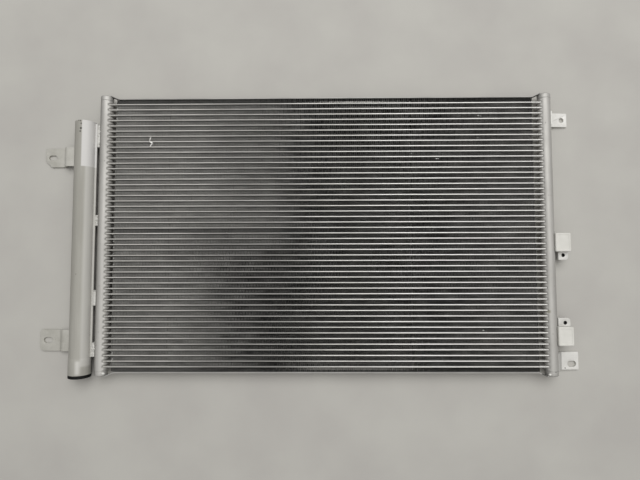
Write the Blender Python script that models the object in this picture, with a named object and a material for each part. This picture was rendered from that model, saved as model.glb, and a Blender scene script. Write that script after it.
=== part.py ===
"""Car air-conditioning condenser with its receiver-drier, lying face up as on a bench.

+X runs along the flat tubes to the side with the pipe connections, +Y runs along the
headers away from the receiver's plug, +Z is up. Units are metres.
"""

import math

import bpy
import bmesh
from mathutils import Vector

# Core: flat tubes between rows of folded fins
tube_count = 49
condensing_tubes = 39
tube_pitch = 0.008
tube_width = 0.012
tube_height = 0.0019
finned_length = 0.6166
tube_insertion = 0.0036
side_plate_thickness = 0.0016
tongue_run = 0.0115
tongue_rise = 0.0052

# Headers: pipes with a slot for each tube end
header_bore_margin = 0.0017
header_wall = 0.0013
header_gap = 0.0077
header_overhang = 0.0062
header_ridge = 0.0009
header_cap_height = 0.0073
header_cap_wall = 0.0015
header_spigot = 0.004
baffle_thickness = 0.0015

# Receiver-drier beside the left header
receiver_diameter = 0.0296
receiver_wall = 0.0018
receiver_edge = 0.0006
receiver_length = 0.370
receiver_gap = 0.0072
receiver_lift = 0.0025
collar_step = 0.0005
collar_taper = 0.0015
collar_length = 0.0225
receiver_plate_thickness = 0.003
receiver_plate_recess = 0.0012
plug_flange_thickness = 0.0042
plug_depth = 0.016
plug_socket_flats = 0.010
plug_socket_depth = 0.006
seal_groove_depth = 0.0014
seal_groove_width = 0.0026
filter_radius = 0.0102
filter_wall = 0.0016
filter_length = 0.046
desiccant_length = 0.175
desiccant_radius = 0.0112

# Pieces between the receiver and the left header
upper_bracket_length = 0.033
middle_bracket_length = 0.016
receiver_inlet_length = 0.0228
receiver_outlet_length = 0.0202
bracket_height = 0.0064
transfer_block_height = 0.0094
transfer_bore = 0.0062
upper_bracket_drop = 0.0215
middle_bracket_rise = 0.038
receiver_inlet_rise = 0.0185
outlet_tubes_from_end = 3

# Mounting tabs, cut from strip
tab_thickness = 0.003
tab_floor_clearance = 0.0006
left_tab_reach = 0.0675
left_joggle_start = 0.0325
joggle_run = 0.0035
upper_left_width = 0.0289
upper_left_inner_height = 0.0103
upper_left_drop = 0.050
upper_left_slot = (0.0128, 0.0074)
upper_left_slot_from_tip = 0.0113
upper_left_chamfer = 0.0098
lower_left_width = 0.0315
lower_left_inner_height = 0.0058
lower_left_rise = 0.0463
lower_left_slot = (0.0132, 0.0084)
lower_left_slot_from_tip = 0.0123
lower_left_round = 0.0075
lower_left_small_round = 0.0045
upper_right_width = 0.0208
upper_right_reach = 0.0399
upper_right_flat = 0.0200
upper_right_drop = 0.0355
upper_right_hole = 0.0072
upper_right_hole_from_tip = 0.008
lower_right_width = 0.0256
lower_right_reach = 0.0456
lower_right_flat = 0.0228
lower_right_rise = 0.0186
lower_right_slot = (0.0127, 0.0088)
lower_right_slot_from_tip = 0.0099
lower_right_slot_offset = 0.0045
right_tab_corner = 0.0012

# Connection blocks on the right header
block_overlap = 0.0030
block_width = 0.022
block_length = 0.027
block_base = 0.0015
block_rise = 0.0067
ear_length = 0.0119
inlet_ear_width = 0.0145
outlet_ear_width = 0.0175
ear_thickness = 0.0085
ear_drop = 0.0045
ear_corner = 0.0045
ear_hole = 0.005
ear_hole_from_body = 0.0049
ear_hole_from_outside = 0.0076
port_bore = 0.0148
port_floor = 0.006
passage_bore = 0.009
inlet_port_y = -0.0146
outlet_port_rise = 0.0573
cover_thickness = 0.0037
cover_round = 0.0011
cover_spigot = 0.009
cover_spigot_wall = 0.0016

# Clearance that brazed, screwed and pushed-in pieces keep to each other
fit_gap = 0.0003

# Facets of the round shapes, and the places of the two seals along the plug
large_facets = 24
medium_facets = 16
small_facets = 12
header_outer_facets = 10
header_inner_facets = 8
widest_header_facet = math.radians(32)
slot_column_share = 0.61
seal_places = (0.36, 0.70)

# Sizes that follow from those above
header_bore = tube_width + 2 * header_bore_margin
header_radius = header_bore / 2 + header_wall
header_fit_radius = header_bore / 2 * math.cos(widest_header_facet / 2) - fit_gap
header_x = finned_length / 2 + header_gap + header_radius
receiver_radius = receiver_diameter / 2
receiver_bore_radius = receiver_radius - receiver_wall
collar_radius = receiver_radius + collar_step
receiver_x = -(header_x + header_radius + receiver_gap + receiver_radius)
axis_z = collar_radius
fin_height = tube_pitch - tube_height
stack_half = (tube_count - 1) / 2 * tube_pitch
slot_half = tube_width / 2 + fit_gap
pipe_end = stack_half + header_overhang
header_end = pipe_end + fit_gap + header_cap_height
side_plate_y = stack_half + tube_height / 2 + fin_height + fit_gap
receiver_bottom = -header_end + receiver_lift
receiver_top = receiver_bottom + receiver_length
block_inner_x = header_x + header_radius - block_overlap
block_outer_x = block_inner_x + block_width
block_top = axis_z + block_rise
port_x = (block_inner_x + block_outer_x) / 2
outlet_port_y = -header_end + outlet_port_rise


def tube_y(number):
    """Height of a tube's middle; tube 1 is the top one."""
    return stack_half - (number - 1) * tube_pitch


baffle_y = tube_y(condensing_tubes + 0.5)
receiver_inlet_y = tube_y(condensing_tubes) + receiver_inlet_rise
receiver_outlet_y = tube_y(tube_count - outlet_tubes_from_end)

# Colour, roughness and metallic value of each kind of surface
aluminium = ((0.62, 0.61, 0.59), 0.42, 1.0)
dull_aluminium = ((0.50, 0.49, 0.46), 0.55, 1.0)
fin_aluminium = ((0.20, 0.20, 0.19), 0.5, 1.0)
white_plastic = ((0.72, 0.71, 0.66), 0.5, 0.0)
black_plastic = ((0.015, 0.015, 0.014), 0.45, 0.0)
rubber = ((0.02, 0.02, 0.02), 0.7, 0.0)
mesh_plastic = ((0.75, 0.73, 0.66), 0.6, 0.0)
felt = ((0.70, 0.68, 0.62), 0.9, 0.0)


def start_assembly():
    """Clears the scene and adds the empty that carries every piece."""
    for obj in list(bpy.data.objects):
        bpy.data.objects.remove(obj, do_unlink=True)
    empty = bpy.data.objects.new("condenser_assembly", None)
    bpy.context.scene.collection.objects.link(empty)
    return empty


assembly = start_assembly()


def make_material(name, colour, roughness, metallic):
    material = bpy.data.materials.new(name)
    material.use_nodes = True
    shader = material.node_tree.nodes["Principled BSDF"]
    shader.inputs["Base Color"].default_value = (*colour, 1)
    shader.inputs["Roughness"].default_value = roughness
    shader.inputs["Metallic"].default_value = metallic
    material.diffuse_color = (*colour, 1)
    return material


def finish_object(name, bm, finish, smooth_angle=None):
    """Turns a bmesh into an object of the assembly; a finish of None gives a bare helper."""
    bmesh.ops.recalc_face_normals(bm, faces=bm.faces)
    mesh = bpy.data.meshes.new(name)
    bm.to_mesh(mesh)
    bm.free()
    if smooth_angle is not None:
        mesh.shade_smooth()
        mesh.set_sharp_from_angle(angle=math.radians(smooth_angle))
    obj = bpy.data.objects.new(name, mesh)
    bpy.context.scene.collection.objects.link(obj)
    obj.parent = assembly
    if finish is not None:
        mesh.materials.append(make_material(name, *finish))
    return obj


def combine(obj, bm, operation):
    """Joins the shape in bm to obj, or cuts it away, by a Boolean with a hidden helper."""
    helper = finish_object(obj.name + "_helper", bm, None)
    helper.hide_render = True
    helper.display_type = "WIRE"
    modifier = obj.modifiers.new(operation.lower(), "BOOLEAN")
    modifier.operation = operation
    modifier.solver = "EXACT"
    modifier.object = helper


def cut(obj, bm):
    combine(obj, bm, "DIFFERENCE")


def spun(profile, facets, centre_x, closed=True):
    """Spins a (radius, y) profile about an axis along Y at the headers' height.

    An open profile has its two ends on the axis.
    """
    bm = bmesh.new()
    points = [bm.verts.new((centre_x + radius, y, axis_z)) for radius, y in profile]
    edges = [bm.edges.new(pair) for pair in zip(points, points[1:])]
    if closed:
        edges.append(bm.edges.new((points[-1], points[0])))
    bmesh.ops.spin(
        bm,
        geom=points + edges,
        cent=(centre_x, 0, axis_z),
        axis=(0, 1, 0),
        angle=2 * math.pi,
        steps=facets,
        use_merge=True,
    )
    bmesh.ops.remove_doubles(bm, verts=bm.verts, dist=1e-6)
    return bm


def extruded(outline, direction):
    """Extrudes a closed outline of 3-D points along a vector."""
    bm = bmesh.new()
    face = bm.faces.new([bm.verts.new(point) for point in outline])
    moved = bmesh.ops.extrude_face_region(bm, geom=[face])["geom"]
    tops = [item for item in moved if isinstance(item, bmesh.types.BMVert)]
    bmesh.ops.translate(bm, verts=tops, vec=direction)
    return bm


def cuboid(centre, size):
    bm = bmesh.new()
    bmesh.ops.create_cube(bm, size=1)
    bmesh.ops.scale(bm, verts=bm.verts, vec=size)
    bmesh.ops.translate(bm, verts=bm.verts, vec=centre)
    return bm


def rod(centre, radius, length, axis, facets):
    """A round bar centred on a point, for discs, holes and bores."""
    bm = bmesh.new()
    bmesh.ops.create_cone(
        bm,
        cap_ends=True,
        segments=facets,
        radius1=radius,
        radius2=radius,
        depth=length,
    )
    turn = Vector((0, 0, 1)).rotation_difference(Vector(axis)).to_matrix()
    bmesh.ops.rotate(bm, verts=bm.verts, cent=(0, 0, 0), matrix=turn)
    bmesh.ops.translate(bm, verts=bm.verts, vec=centre)
    return bm


def arc(centre, radius, start, stop, count):
    """Points in a plane along an arc, both ends included; angles in degrees."""
    angles = [math.radians(start + (stop - start) * i / (count - 1)) for i in range(count)]
    return [(centre[0] + radius * math.cos(a), centre[1] + radius * math.sin(a)) for a in angles]


def ladder(bm, left, right):
    """Fills the strip between two rows of vertices with triangles."""
    i = j = 0
    while i < len(left) - 1 or j < len(right) - 1:
        down_left = i < len(left) - 1
        if down_left and j < len(right) - 1:
            across = (left[i + 1].co - right[j].co).length
            down_left = across <= (left[i].co - right[j + 1].co).length
        if down_left:
            bm.faces.new((left[i], left[i + 1], right[j]))
            i += 1
        else:
            bm.faces.new((left[i], right[j + 1], right[j]))
            j += 1


def tube_ring(y):
    """Outline of a flat tube: 5 points round its front edge, top to bottom, then 5 up its back."""
    radius = tube_height / 2
    middle = tube_width / 2 - radius
    front = [(y + v, axis_z + middle + u) for u, v in arc((0, 0), radius, 90, -90, 5)]
    back = [(y + v, axis_z - middle - u) for u, v in arc((0, 0), radius, -90, 90, 5)]
    return front + back


def core_end(bm, end, first, last, fins_above, fins_below):
    """The bare tube ends on one side of a pass; gives the fins' outline, once round."""
    half = finned_length / 2
    tube_end = header_x - header_bore / 2 + tube_insertion
    rings = []
    for number in range(first, last + 1):
        outline = tube_ring(tube_y(number))
        ring = [bm.verts.new((end * half, y, z)) for y, z in outline]
        tip = [bm.verts.new((end * tube_end, y, z)) for y, z in outline]
        for i in range(len(ring)):
            bm.faces.new((ring[i - 1], ring[i], tip[i], tip[i - 1]))
        bm.faces.new(tip)
        rings.append(ring)
    # The fins reach halfway round a tube's front and back edges
    for upper, lower in zip(rings, rings[1:]):
        bm.faces.new(upper[3:7] + lower[8:10] + lower[0:2])
    front = [point for ring in rings for point in ring[1:4]]
    back = [point for ring in rings for point in (ring[8], ring[7], ring[6])]
    front_z, back_z = front[0].co.z, back[0].co.z
    top, bottom = rings[0], rings[-1]
    if fins_above:
        y = tube_y(first) + tube_height / 2 + fins_above
        shoulder = [bm.verts.new((end * half, y, z)) for z in (front_z, back_z)]
        bm.faces.new(shoulder + top[8:10] + top[0:2])
    else:
        shoulder = [top[0], top[9]]
    if fins_below:
        y = tube_y(last) - tube_height / 2 - fins_below
        foot = [bm.verts.new((end * half, y, z)) for z in (front_z, back_z)]
        bm.faces.new(bottom[3:7] + foot[::-1])
    else:
        foot = [bottom[4], bottom[5]]
    return [shoulder[0]] + front + foot + back[::-1] + [shoulder[1]]


def core_pass(name, first, last, fins_above, fins_below):
    """Tubes first..last with their fin rows: one brazed stack with bare tube ends."""
    bm = bmesh.new()
    left = core_end(bm, -1, first, last, fins_above, fins_below)
    right = core_end(bm, 1, first, last, fins_above, fins_below)
    for i in range(len(left)):
        bm.faces.new((left[i - 1], left[i], right[i], right[i - 1]))
    return finish_object(name, bm, fin_aluminium, 50)


def slotted_face(bm, side, stations, levels):
    """The side of a header that faces the core: slots, and a pressed ridge between slots.

    Gives the columns of vertices of the outer and the inner skin, one for each level.
    """

    def point(radius, z, y, bump=0.0):
        reach = math.sqrt(radius * radius - z * z) + bump
        return bm.verts.new((side * (header_x - reach), y, axis_z + z))

    outside = [[point(header_radius, z, y) for y in stations] for z in levels]
    inside = [[point(header_bore / 2, z, y) for y in stations] for z in levels]
    crests = {}
    for column in range(1, len(levels) - 1):
        z = levels[column]
        height = header_ridge * (1 - (z / slot_half) ** 2)
        for number in range(1, tube_count):
            crests[column, number] = point(header_radius, z, tube_y(number + 0.5), height)
    # Rows between stations alternate: even rows are wall, odd rows are slots
    for row in range(len(stations) - 1):
        for column in range(len(levels) - 1):
            a, b = outside[column], outside[column + 1]
            c, d = inside[column], inside[column + 1]
            if row % 2:
                for edge in (row, row + 1):
                    bm.faces.new((a[edge], b[edge], d[edge], c[edge]))
                continue
            bm.faces.new((c[row], d[row], d[row + 1], c[row + 1]))
            ridges = [crests.get((column, row // 2)), crests.get((column + 1, row // 2))]
            ladder(
                bm,
                [v for v in (a[row], ridges[0], a[row + 1]) if v],
                [v for v in (b[row], ridges[1], b[row + 1]) if v],
            )
        if row % 2:
            for column in (0, -1):
                a, c = outside[column], inside[column]
                bm.faces.new((a[row], a[row + 1], c[row + 1], c[row]))
    return outside, inside


def plain_back(bm, side, radius, facets, columns):
    """The rest of one skin of a header, from the last column round to the first.

    Gives the skin's rims at the top and at the bottom end.
    """
    start = math.degrees(math.asin(slot_half / radius))
    angles = [math.radians(start + (360 - 2 * start) * i / facets) for i in range(1, facets)]
    backs = []
    for angle in angles:
        x = side * (header_x - radius * math.cos(angle))
        z = axis_z + radius * math.sin(angle)
        backs.append([bm.verts.new((x, y, z)) for y in (pipe_end, -pipe_end)])
    ladder(bm, columns[-1], backs[0])
    for a, b in zip(backs, backs[1:]):
        bm.faces.new((a[0], b[0], b[1], a[1]))
    ladder(bm, backs[-1], columns[0])
    return [[column[end] for column in columns] + [back[end] for back in backs] for end in (0, -1)]


def header_pipe(name, side):
    """A round header with a tube slot at each pitch."""
    bm = bmesh.new()
    shares = (-1, -slot_column_share, 0, slot_column_share, 1)
    levels = [slot_half * share for share in shares]
    slot_edge = tube_height / 2 + fit_gap
    stations = [pipe_end]
    for number in range(1, tube_count + 1):
        stations += [tube_y(number) + slot_edge, tube_y(number) - slot_edge]
    stations.append(-pipe_end)
    outside, inside = slotted_face(bm, side, stations, levels)
    outer_rims = plain_back(bm, side, header_radius, header_outer_facets, outside)
    inner_rims = plain_back(bm, side, header_bore / 2, header_inner_facets, inside)
    last = len(levels) - 1
    for outer, inner in zip(outer_rims, inner_rims):
        for i in range(last):
            bm.faces.new((outer[i], outer[i + 1], inner[i + 1], inner[i]))
        ladder(bm, outer[last:] + outer[:1], inner[last:] + inner[:1])
    return finish_object(name, bm, aluminium, 35)


def header_cap(name, side, end):
    """A cup pressed into a header's end, its head as wide as the pipe."""
    head_start = pipe_end + fit_gap
    head_end = head_start + header_cap_height
    spigot_end = head_start - header_spigot
    bore = header_fit_radius - header_cap_wall
    profile = [
        (0, head_end),
        (header_radius - header_wall, head_end),
        (header_radius, head_end - header_wall),
        (header_radius, head_start),
        (header_fit_radius, head_start),
        (header_fit_radius, spigot_end),
        (bore, spigot_end),
        (bore, head_end - header_cap_wall),
        (0, head_end - header_cap_wall),
    ]
    turned = [(radius, end * y) for radius, y in profile]
    bm = spun(turned, medium_facets, side * header_x, closed=False)
    return finish_object(name, bm, aluminium, 35)


def header_baffle(name, side):
    """The disc that parts the condensing pass from the subcooling pass."""
    centre = (side * header_x, baffle_y, axis_z)
    bm = rod(centre, header_fit_radius, baffle_thickness, (0, 1, 0), medium_facets)
    return finish_object(name, bm, aluminium, 35)


def side_plate(name, end):
    """The flat plate over an outer fin row, its ends bent out to the header caps."""
    bend_x = header_x - header_radius + fit_gap - tongue_run
    tip_rise = tongue_rise * (header_x - bend_x) / tongue_run
    path = [(-header_x, tip_rise), (-bend_x, 0), (bend_x, 0), (header_x, tip_rise)]
    back_z = axis_z - tube_width / 2
    top = side_plate_y + side_plate_thickness
    outline = [(x, end * (side_plate_y + rise), back_z) for x, rise in path]
    outline += [(x, end * (top + rise), back_z) for x, rise in reversed(path)]
    plate = finish_object(name, extruded(outline, (0, 0, tube_width)), aluminium)
    reach = 4 * (header_cap_height + tongue_rise)
    for side in (-1, 1):
        centre = (side * header_x, end * side_plate_y, axis_z)
        cut(plate, rod(centre, header_radius + fit_gap, reach, (0, 1, 0), medium_facets))
        outside = (side * (header_x + reach / 2), end * side_plate_y, axis_z)
        cut(plate, cuboid(outside, (reach, reach, reach)))
    return plate


def receiver_body():
    """The drier's tube, with a thicker collar where the plug screws in."""
    collar_top = receiver_bottom + collar_length
    profile = [
        (collar_radius, receiver_bottom),
        (collar_radius, collar_top),
        (receiver_radius, collar_top + collar_taper),
        (receiver_radius, receiver_top - receiver_edge),
        (receiver_radius - receiver_edge, receiver_top),
        (receiver_bore_radius, receiver_top),
        (receiver_bore_radius, receiver_bottom),
    ]
    bm = spun(profile, large_facets, receiver_x)
    body = finish_object("receiver_body", bm, dull_aluminium, 35)
    for y in (receiver_inlet_y, receiver_outlet_y):
        centre = (receiver_x + receiver_radius, y, axis_z)
        cut(body, rod(centre, transfer_bore / 2, 4 * receiver_wall, (1, 0, 0), small_facets))
    return body


def receiver_top_plate():
    radius = receiver_bore_radius - fit_gap
    middle_y = receiver_top - receiver_plate_recess - receiver_plate_thickness / 2
    centre = (receiver_x, middle_y, axis_z)
    bm = rod(centre, radius, receiver_plate_thickness, (0, 1, 0), large_facets)
    return finish_object("receiver_top_plate", bm, dull_aluminium, 35)


def seal_y(index):
    """Height of a plug seal's middle, counted from the flange inwards."""
    return receiver_bottom + seal_places[index] * plug_depth


def receiver_plug():
    """The screwed plug: a flange outside, two seal grooves and a hexagon socket."""
    spigot = receiver_bore_radius - fit_gap
    groove = spigot - seal_groove_depth
    flange_top = receiver_bottom - fit_gap
    flange_bottom = flange_top - plug_flange_thickness
    profile = [(0, flange_bottom), (collar_radius, flange_bottom), (collar_radius, flange_top)]
    profile.append((spigot, flange_top))
    for index in range(len(seal_places)):
        low = seal_y(index) - seal_groove_width / 2
        high = seal_y(index) + seal_groove_width / 2
        profile += [(spigot, low), (groove, low), (groove, high), (spigot, high)]
    profile += [(spigot, flange_top + plug_depth), (0, flange_top + plug_depth)]
    bm = spun(profile, large_facets, receiver_x, closed=False)
    plug = finish_object("receiver_plug", bm, black_plastic, 35)
    socket_radius = plug_socket_flats / math.sqrt(3)
    centre = (receiver_x, flange_bottom, axis_z)
    cut(plug, rod(centre, socket_radius, 2 * plug_socket_depth, (0, 1, 0), 6))
    return plug


def plug_seal(name, index):
    """A rubber ring in a plug groove, clear of groove and bore by the fit gap."""
    groove = receiver_bore_radius - fit_gap - seal_groove_depth
    thickness = (receiver_bore_radius - groove - 2 * fit_gap) / 2
    middle = (receiver_bore_radius + groove) / 2
    section = arc((middle, seal_y(index)), thickness, 0, 300, 6)
    return finish_object(name, spun(section, medium_facets, receiver_x), rubber, 80)


def receiver_filter():
    """The strainer cup that stands on the plug, open towards it."""
    start = receiver_bottom + plug_depth
    stop = start + filter_length
    inner = filter_radius - filter_wall
    profile = [
        (0, stop),
        (filter_radius, stop),
        (filter_radius, start),
        (inner, start),
        (inner, stop - filter_wall),
        (0, stop - filter_wall),
    ]
    bm = spun(profile, medium_facets, receiver_x, closed=False)
    return finish_object("receiver_filter", bm, mesh_plastic, 35)


def desiccant_bag():
    """The felt bag of drying beads that stands on the strainer."""
    start = receiver_bottom + plug_depth + filter_length + fit_gap
    stop = start + desiccant_length
    shoulder = desiccant_radius / 2
    profile = [
        (0, start),
        (desiccant_radius - shoulder, start),
        (desiccant_radius, start + shoulder),
        (desiccant_radius, stop - shoulder),
        (desiccant_radius - shoulder, stop),
        (0, stop),
    ]
    bm = spun(profile, small_facets, receiver_x, closed=False)
    return finish_object("desiccant_bag", bm, felt, 60)


def saddle_block(name, middle_y, length, height, bore=None):
    """A block that bridges the receiver and the header, hollowed to fit both."""
    receiver_fit = receiver_radius + fit_gap
    header_fit = header_radius + fit_gap
    receiver_turn = math.degrees(math.asin(height / 2 / receiver_fit))
    header_turn = math.degrees(math.asin(height / 2 / header_fit))
    outline = arc((receiver_x, axis_z), receiver_fit, -receiver_turn, receiver_turn, 5)
    outline += arc((-header_x, axis_z), header_fit, 180 - header_turn, 180 + header_turn, 5)
    points = [(x, middle_y - length / 2, z) for x, z in outline]
    block = finish_object(name, extruded(points, (0, length, 0)), aluminium)
    if bore:
        centre = ((receiver_x - header_x) / 2, middle_y, axis_z)
        reach = receiver_gap + receiver_radius + header_radius
        cut(block, rod(centre, bore / 2, reach, (1, 0, 0), small_facets))
    return block


def thick_strip(path, thickness):
    """Outline of a bent strip of even thickness, from its middle line."""
    above, below = [], []
    for i, place in enumerate(path):
        directions = []
        if i:
            directions.append((Vector(place) - Vector(path[i - 1])).normalized())
        if i < len(path) - 1:
            directions.append((Vector(path[i + 1]) - Vector(place)).normalized())
        along = sum(directions, Vector((0, 0))).normalized()
        across = Vector((-along.y, along.x)) * thickness / 2 / along.dot(directions[0])
        above.append(Vector(place) + across)
        below.append(Vector(place) - across)
    return above + below[::-1]


def opening_cutter(centre, size, depth):
    """A cutter for a round hole, or for a slot along X with round ends."""
    length, width = size
    if length == width:
        return rod((*centre, 0), width / 2, 4 * depth, (0, 0, 1), small_facets)
    half = (length - width) / 2
    points = arc((centre[0] + half, centre[1]), width / 2, -90, 90, 7)
    points += arc((centre[0] - half, centre[1]), width / 2, 90, 270, 7)
    return extruded([(x, y, -depth) for x, y in points], (0, 0, 3 * depth))


def corner_cutter(tip_x, corner_y, side, end, size, rounded):
    """The waste outside a chamfered or rounded corner of a tab's free end."""
    inner_x = tip_x - side * size
    inner_y = corner_y - end * size
    if rounded:
        start = 90 * end
        stop = 0 if side > 0 else 180 * end
        points = arc((inner_x, inner_y), size, start, stop, 6)
    else:
        points = [(inner_x, corner_y), (tip_x, inner_y)]
    outer_x = tip_x + side * size
    outer_y = corner_y + end * size
    points += [(outer_x, inner_y), (outer_x, outer_y), (inner_x, outer_y)]
    return extruded([(x, y, -tab_thickness) for x, y in points], (0, 0, 3 * tab_thickness))


def mounting_tab(name, side, path, width, middle_y, opening, opening_place, corners):
    """A strip tab on a pipe, with its opening and its trimmed corners.

    The opening's place is its distance from the tip and its height from the tab's middle.
    """
    tip_x = path[-1][0]
    points = [(x, middle_y - width / 2, z) for x, z in thick_strip(path, tab_thickness)]
    tab = finish_object(name, extruded(points, (0, width, 0)), aluminium)
    opening_centre = (tip_x - side * opening_place[0], middle_y + opening_place[1])
    cut(tab, opening_cutter(opening_centre, opening, tab_thickness))
    for end, size, rounded in corners:
        cut(tab, corner_cutter(tip_x, middle_y + end * width / 2, side, end, size, rounded))
    return tab


def left_tab_path(inner_height):
    """Middle line of a left tab: round the receiver, out, and down to the floor."""
    radius = receiver_radius + fit_gap + tab_thickness / 2
    low_turn = math.degrees(math.asin((axis_z - tab_floor_clearance) / (radius + tab_thickness / 2)))
    high_turn = math.degrees(math.asin((axis_z - inner_height) / radius))
    path = arc((receiver_x, axis_z), radius, 180 + low_turn, 180 + high_turn, 4)
    path.append((receiver_x - left_joggle_start, inner_height))
    path.append((receiver_x - left_joggle_start - joggle_run, tab_thickness / 2))
    path.append((receiver_x - left_tab_reach, tab_thickness / 2))
    return path


def right_tab_path(flat_start, reach):
    """Middle line of a right tab: round the header, then down and out to the floor."""
    radius = header_radius + fit_gap + tab_thickness / 2
    path = arc((header_x, axis_z), radius, 0, -45, 4)
    path.append((header_x + flat_start, tab_thickness / 2))
    path.append((header_x + reach, tab_thickness / 2))
    return path


def mounting_tabs():
    mounting_tab(
        "upper_left_mounting_tab", -1, left_tab_path(upper_left_inner_height),
        upper_left_width, receiver_top - upper_left_drop,
        upper_left_slot, (upper_left_slot_from_tip, 0),
        [(-1, upper_left_chamfer, False)],
    )
    mounting_tab(
        "lower_left_mounting_tab", -1, left_tab_path(lower_left_inner_height),
        lower_left_width, receiver_bottom + lower_left_rise,
        lower_left_slot, (lower_left_slot_from_tip, 0),
        [(-1, lower_left_round, True), (1, lower_left_small_round, True)],
    )
    mounting_tab(
        "upper_right_mounting_tab", 1, right_tab_path(upper_right_flat, upper_right_reach),
        upper_right_width, header_end - upper_right_drop,
        (upper_right_hole, upper_right_hole), (upper_right_hole_from_tip, 0),
        [(-1, right_tab_corner, True), (1, right_tab_corner, True)],
    )
    mounting_tab(
        "lower_right_mounting_tab", 1, right_tab_path(lower_right_flat, lower_right_reach),
        lower_right_width, -header_end + lower_right_rise,
        lower_right_slot, (lower_right_slot_from_tip, -lower_right_slot_offset),
        [(-1, right_tab_corner, True), (1, right_tab_corner, True)],
    )


def ear_corner_cutter(edge_y, end):
    """The waste outside the round outer corner of a connection block's ear."""
    inner_x = block_outer_x - ear_corner
    outer_x = block_outer_x + ear_corner
    inner_y = edge_y - end * ear_corner
    outer_y = edge_y + end * ear_corner
    points = arc((inner_x, inner_y), ear_corner, 90 * end, 0, 4)
    points += [(outer_x, inner_y), (outer_x, outer_y), (inner_x, outer_y)]
    return extruded([(x, y, 0) for x, y in points], (0, 0, 2 * block_top))


def connection_block(name, port_y, ear_end, ear_width):
    """A machined block on the right header: a port from above and an ear with a bolt hole."""
    body_edge = port_y + ear_end * block_length / 2
    far_edge = port_y - ear_end * block_length / 2
    ear_edge = body_edge + ear_end * ear_length
    ear_top = block_top - ear_drop
    ear_base = ear_top - ear_thickness
    profile = [
        (far_edge, block_base),
        (body_edge, block_base),
        (body_edge, ear_base),
        (ear_edge, ear_base),
        (ear_edge, ear_top),
        (body_edge, ear_top),
        (body_edge, block_top),
        (far_edge, block_top),
    ]
    points = [(block_inner_x, y, z) for y, z in profile]
    block = finish_object(name, extruded(points, (block_width, 0, 0)), aluminium)
    # The ear is narrower than the body and starts clear of the header
    notch = (block_outer_x - ear_width - block_width / 2, ear_edge, block_base)
    cut(block, cuboid(notch, (block_width, 2 * ear_length, 2 * block_top)))
    cut(block, ear_corner_cutter(ear_edge, ear_end))
    saddle = (header_x, port_y, axis_z)
    cut(block, rod(saddle, header_radius + fit_gap, 3 * block_length, (0, 1, 0), large_facets))
    port_middle = (port_x, port_y, block_base + port_floor + block_top / 2)
    cut(block, rod(port_middle, port_bore / 2, block_top, (0, 0, 1), medium_facets))
    passage = (block_inner_x, port_y, axis_z)
    cut(block, rod(passage, passage_bore / 2, block_width, (1, 0, 0), small_facets))
    hole = (block_outer_x - ear_hole_from_outside, body_edge + ear_end * ear_hole_from_body, 0)
    cut(block, rod(hole, ear_hole / 2, 4 * block_top, (0, 0, 1), small_facets))
    return block


def port_cover(name, port_y):
    """The plastic cover over a port, held by a hollow spigot in the bore."""
    base = block_top + fit_gap
    middle = (port_x, port_y, base + cover_thickness / 2)
    bm = cuboid(middle, (block_width, block_length, cover_thickness))
    above = [edge for edge in bm.edges if max(v.co.z for v in edge.verts) > middle[2]]
    bmesh.ops.bevel(bm, geom=above, offset=cover_round, segments=2, profile=0.5, affect="EDGES")
    cover = finish_object(name, bm, white_plastic, 40)
    radius = port_bore / 2 - fit_gap
    spigot_top = base + cover_thickness / 2
    spigot_length = cover_thickness / 2 + cover_spigot
    spigot = (port_x, port_y, spigot_top - spigot_length / 2)
    combine(cover, rod(spigot, radius, spigot_length, (0, 0, 1), medium_facets), "UNION")
    hollow = (port_x, port_y, base - cover_spigot)
    hollow_length = 2 * (cover_spigot - cover_spigot_wall)
    cut(cover, rod(hollow, radius - cover_spigot_wall, hollow_length, (0, 0, 1), medium_facets))
    return cover


def build_core():
    core_pass("condensing_core", 1, condensing_tubes, fin_height, fin_height - fit_gap)
    core_pass("subcooling_core", condensing_tubes + 1, tube_count, 0, fin_height)
    side_plate("top_side_plate", 1)
    side_plate("bottom_side_plate", -1)


def build_headers():
    left = header_pipe("left_header", -1)
    right = header_pipe("right_header", 1)
    depth = 5 * header_wall
    for y in (receiver_inlet_y, receiver_outlet_y):
        centre = (-header_x - header_radius, y, axis_z)
        cut(left, rod(centre, transfer_bore / 2, depth, (1, 0, 0), small_facets))
    for y in (inlet_port_y, outlet_port_y):
        centre = (header_x + header_radius, y, axis_z)
        cut(right, rod(centre, passage_bore / 2, depth, (1, 0, 0), small_facets))
    for side, word in ((-1, "left"), (1, "right")):
        header_cap(word + "_header_top_cap", side, 1)
        header_cap(word + "_header_bottom_cap", side, -1)
        header_baffle(word + "_header_baffle", side)


def build_receiver():
    receiver_body()
    receiver_top_plate()
    receiver_plug()
    plug_seal("receiver_plug_outer_seal", 0)
    plug_seal("receiver_plug_inner_seal", 1)
    receiver_filter()
    desiccant_bag()
    upper_y = receiver_top - upper_bracket_drop
    middle_y = (receiver_top + receiver_bottom) / 2 + middle_bracket_rise
    saddle_block("receiver_upper_bracket", upper_y, upper_bracket_length, bracket_height)
    saddle_block("receiver_middle_bracket", middle_y, middle_bracket_length, bracket_height)
    saddle_block(
        "receiver_inlet_block", receiver_inlet_y, receiver_inlet_length,
        transfer_block_height, transfer_bore,
    )
    saddle_block(
        "receiver_outlet_block", receiver_outlet_y, receiver_outlet_length,
        transfer_block_height, transfer_bore,
    )


def centre_assembly():
    """Moves the assembly so that its origin is the middle of its footprint."""
    bpy.context.view_layer.update()
    graph = bpy.context.evaluated_depsgraph_get()
    corners = [
        corner
        for obj in assembly.children
        if not obj.hide_render
        for corner in obj.evaluated_get(graph).bound_box
    ]
    for axis in (0, 1):
        values = [corner[axis] for corner in corners]
        assembly.location[axis] = -(min(values) + max(values)) / 2


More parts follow.
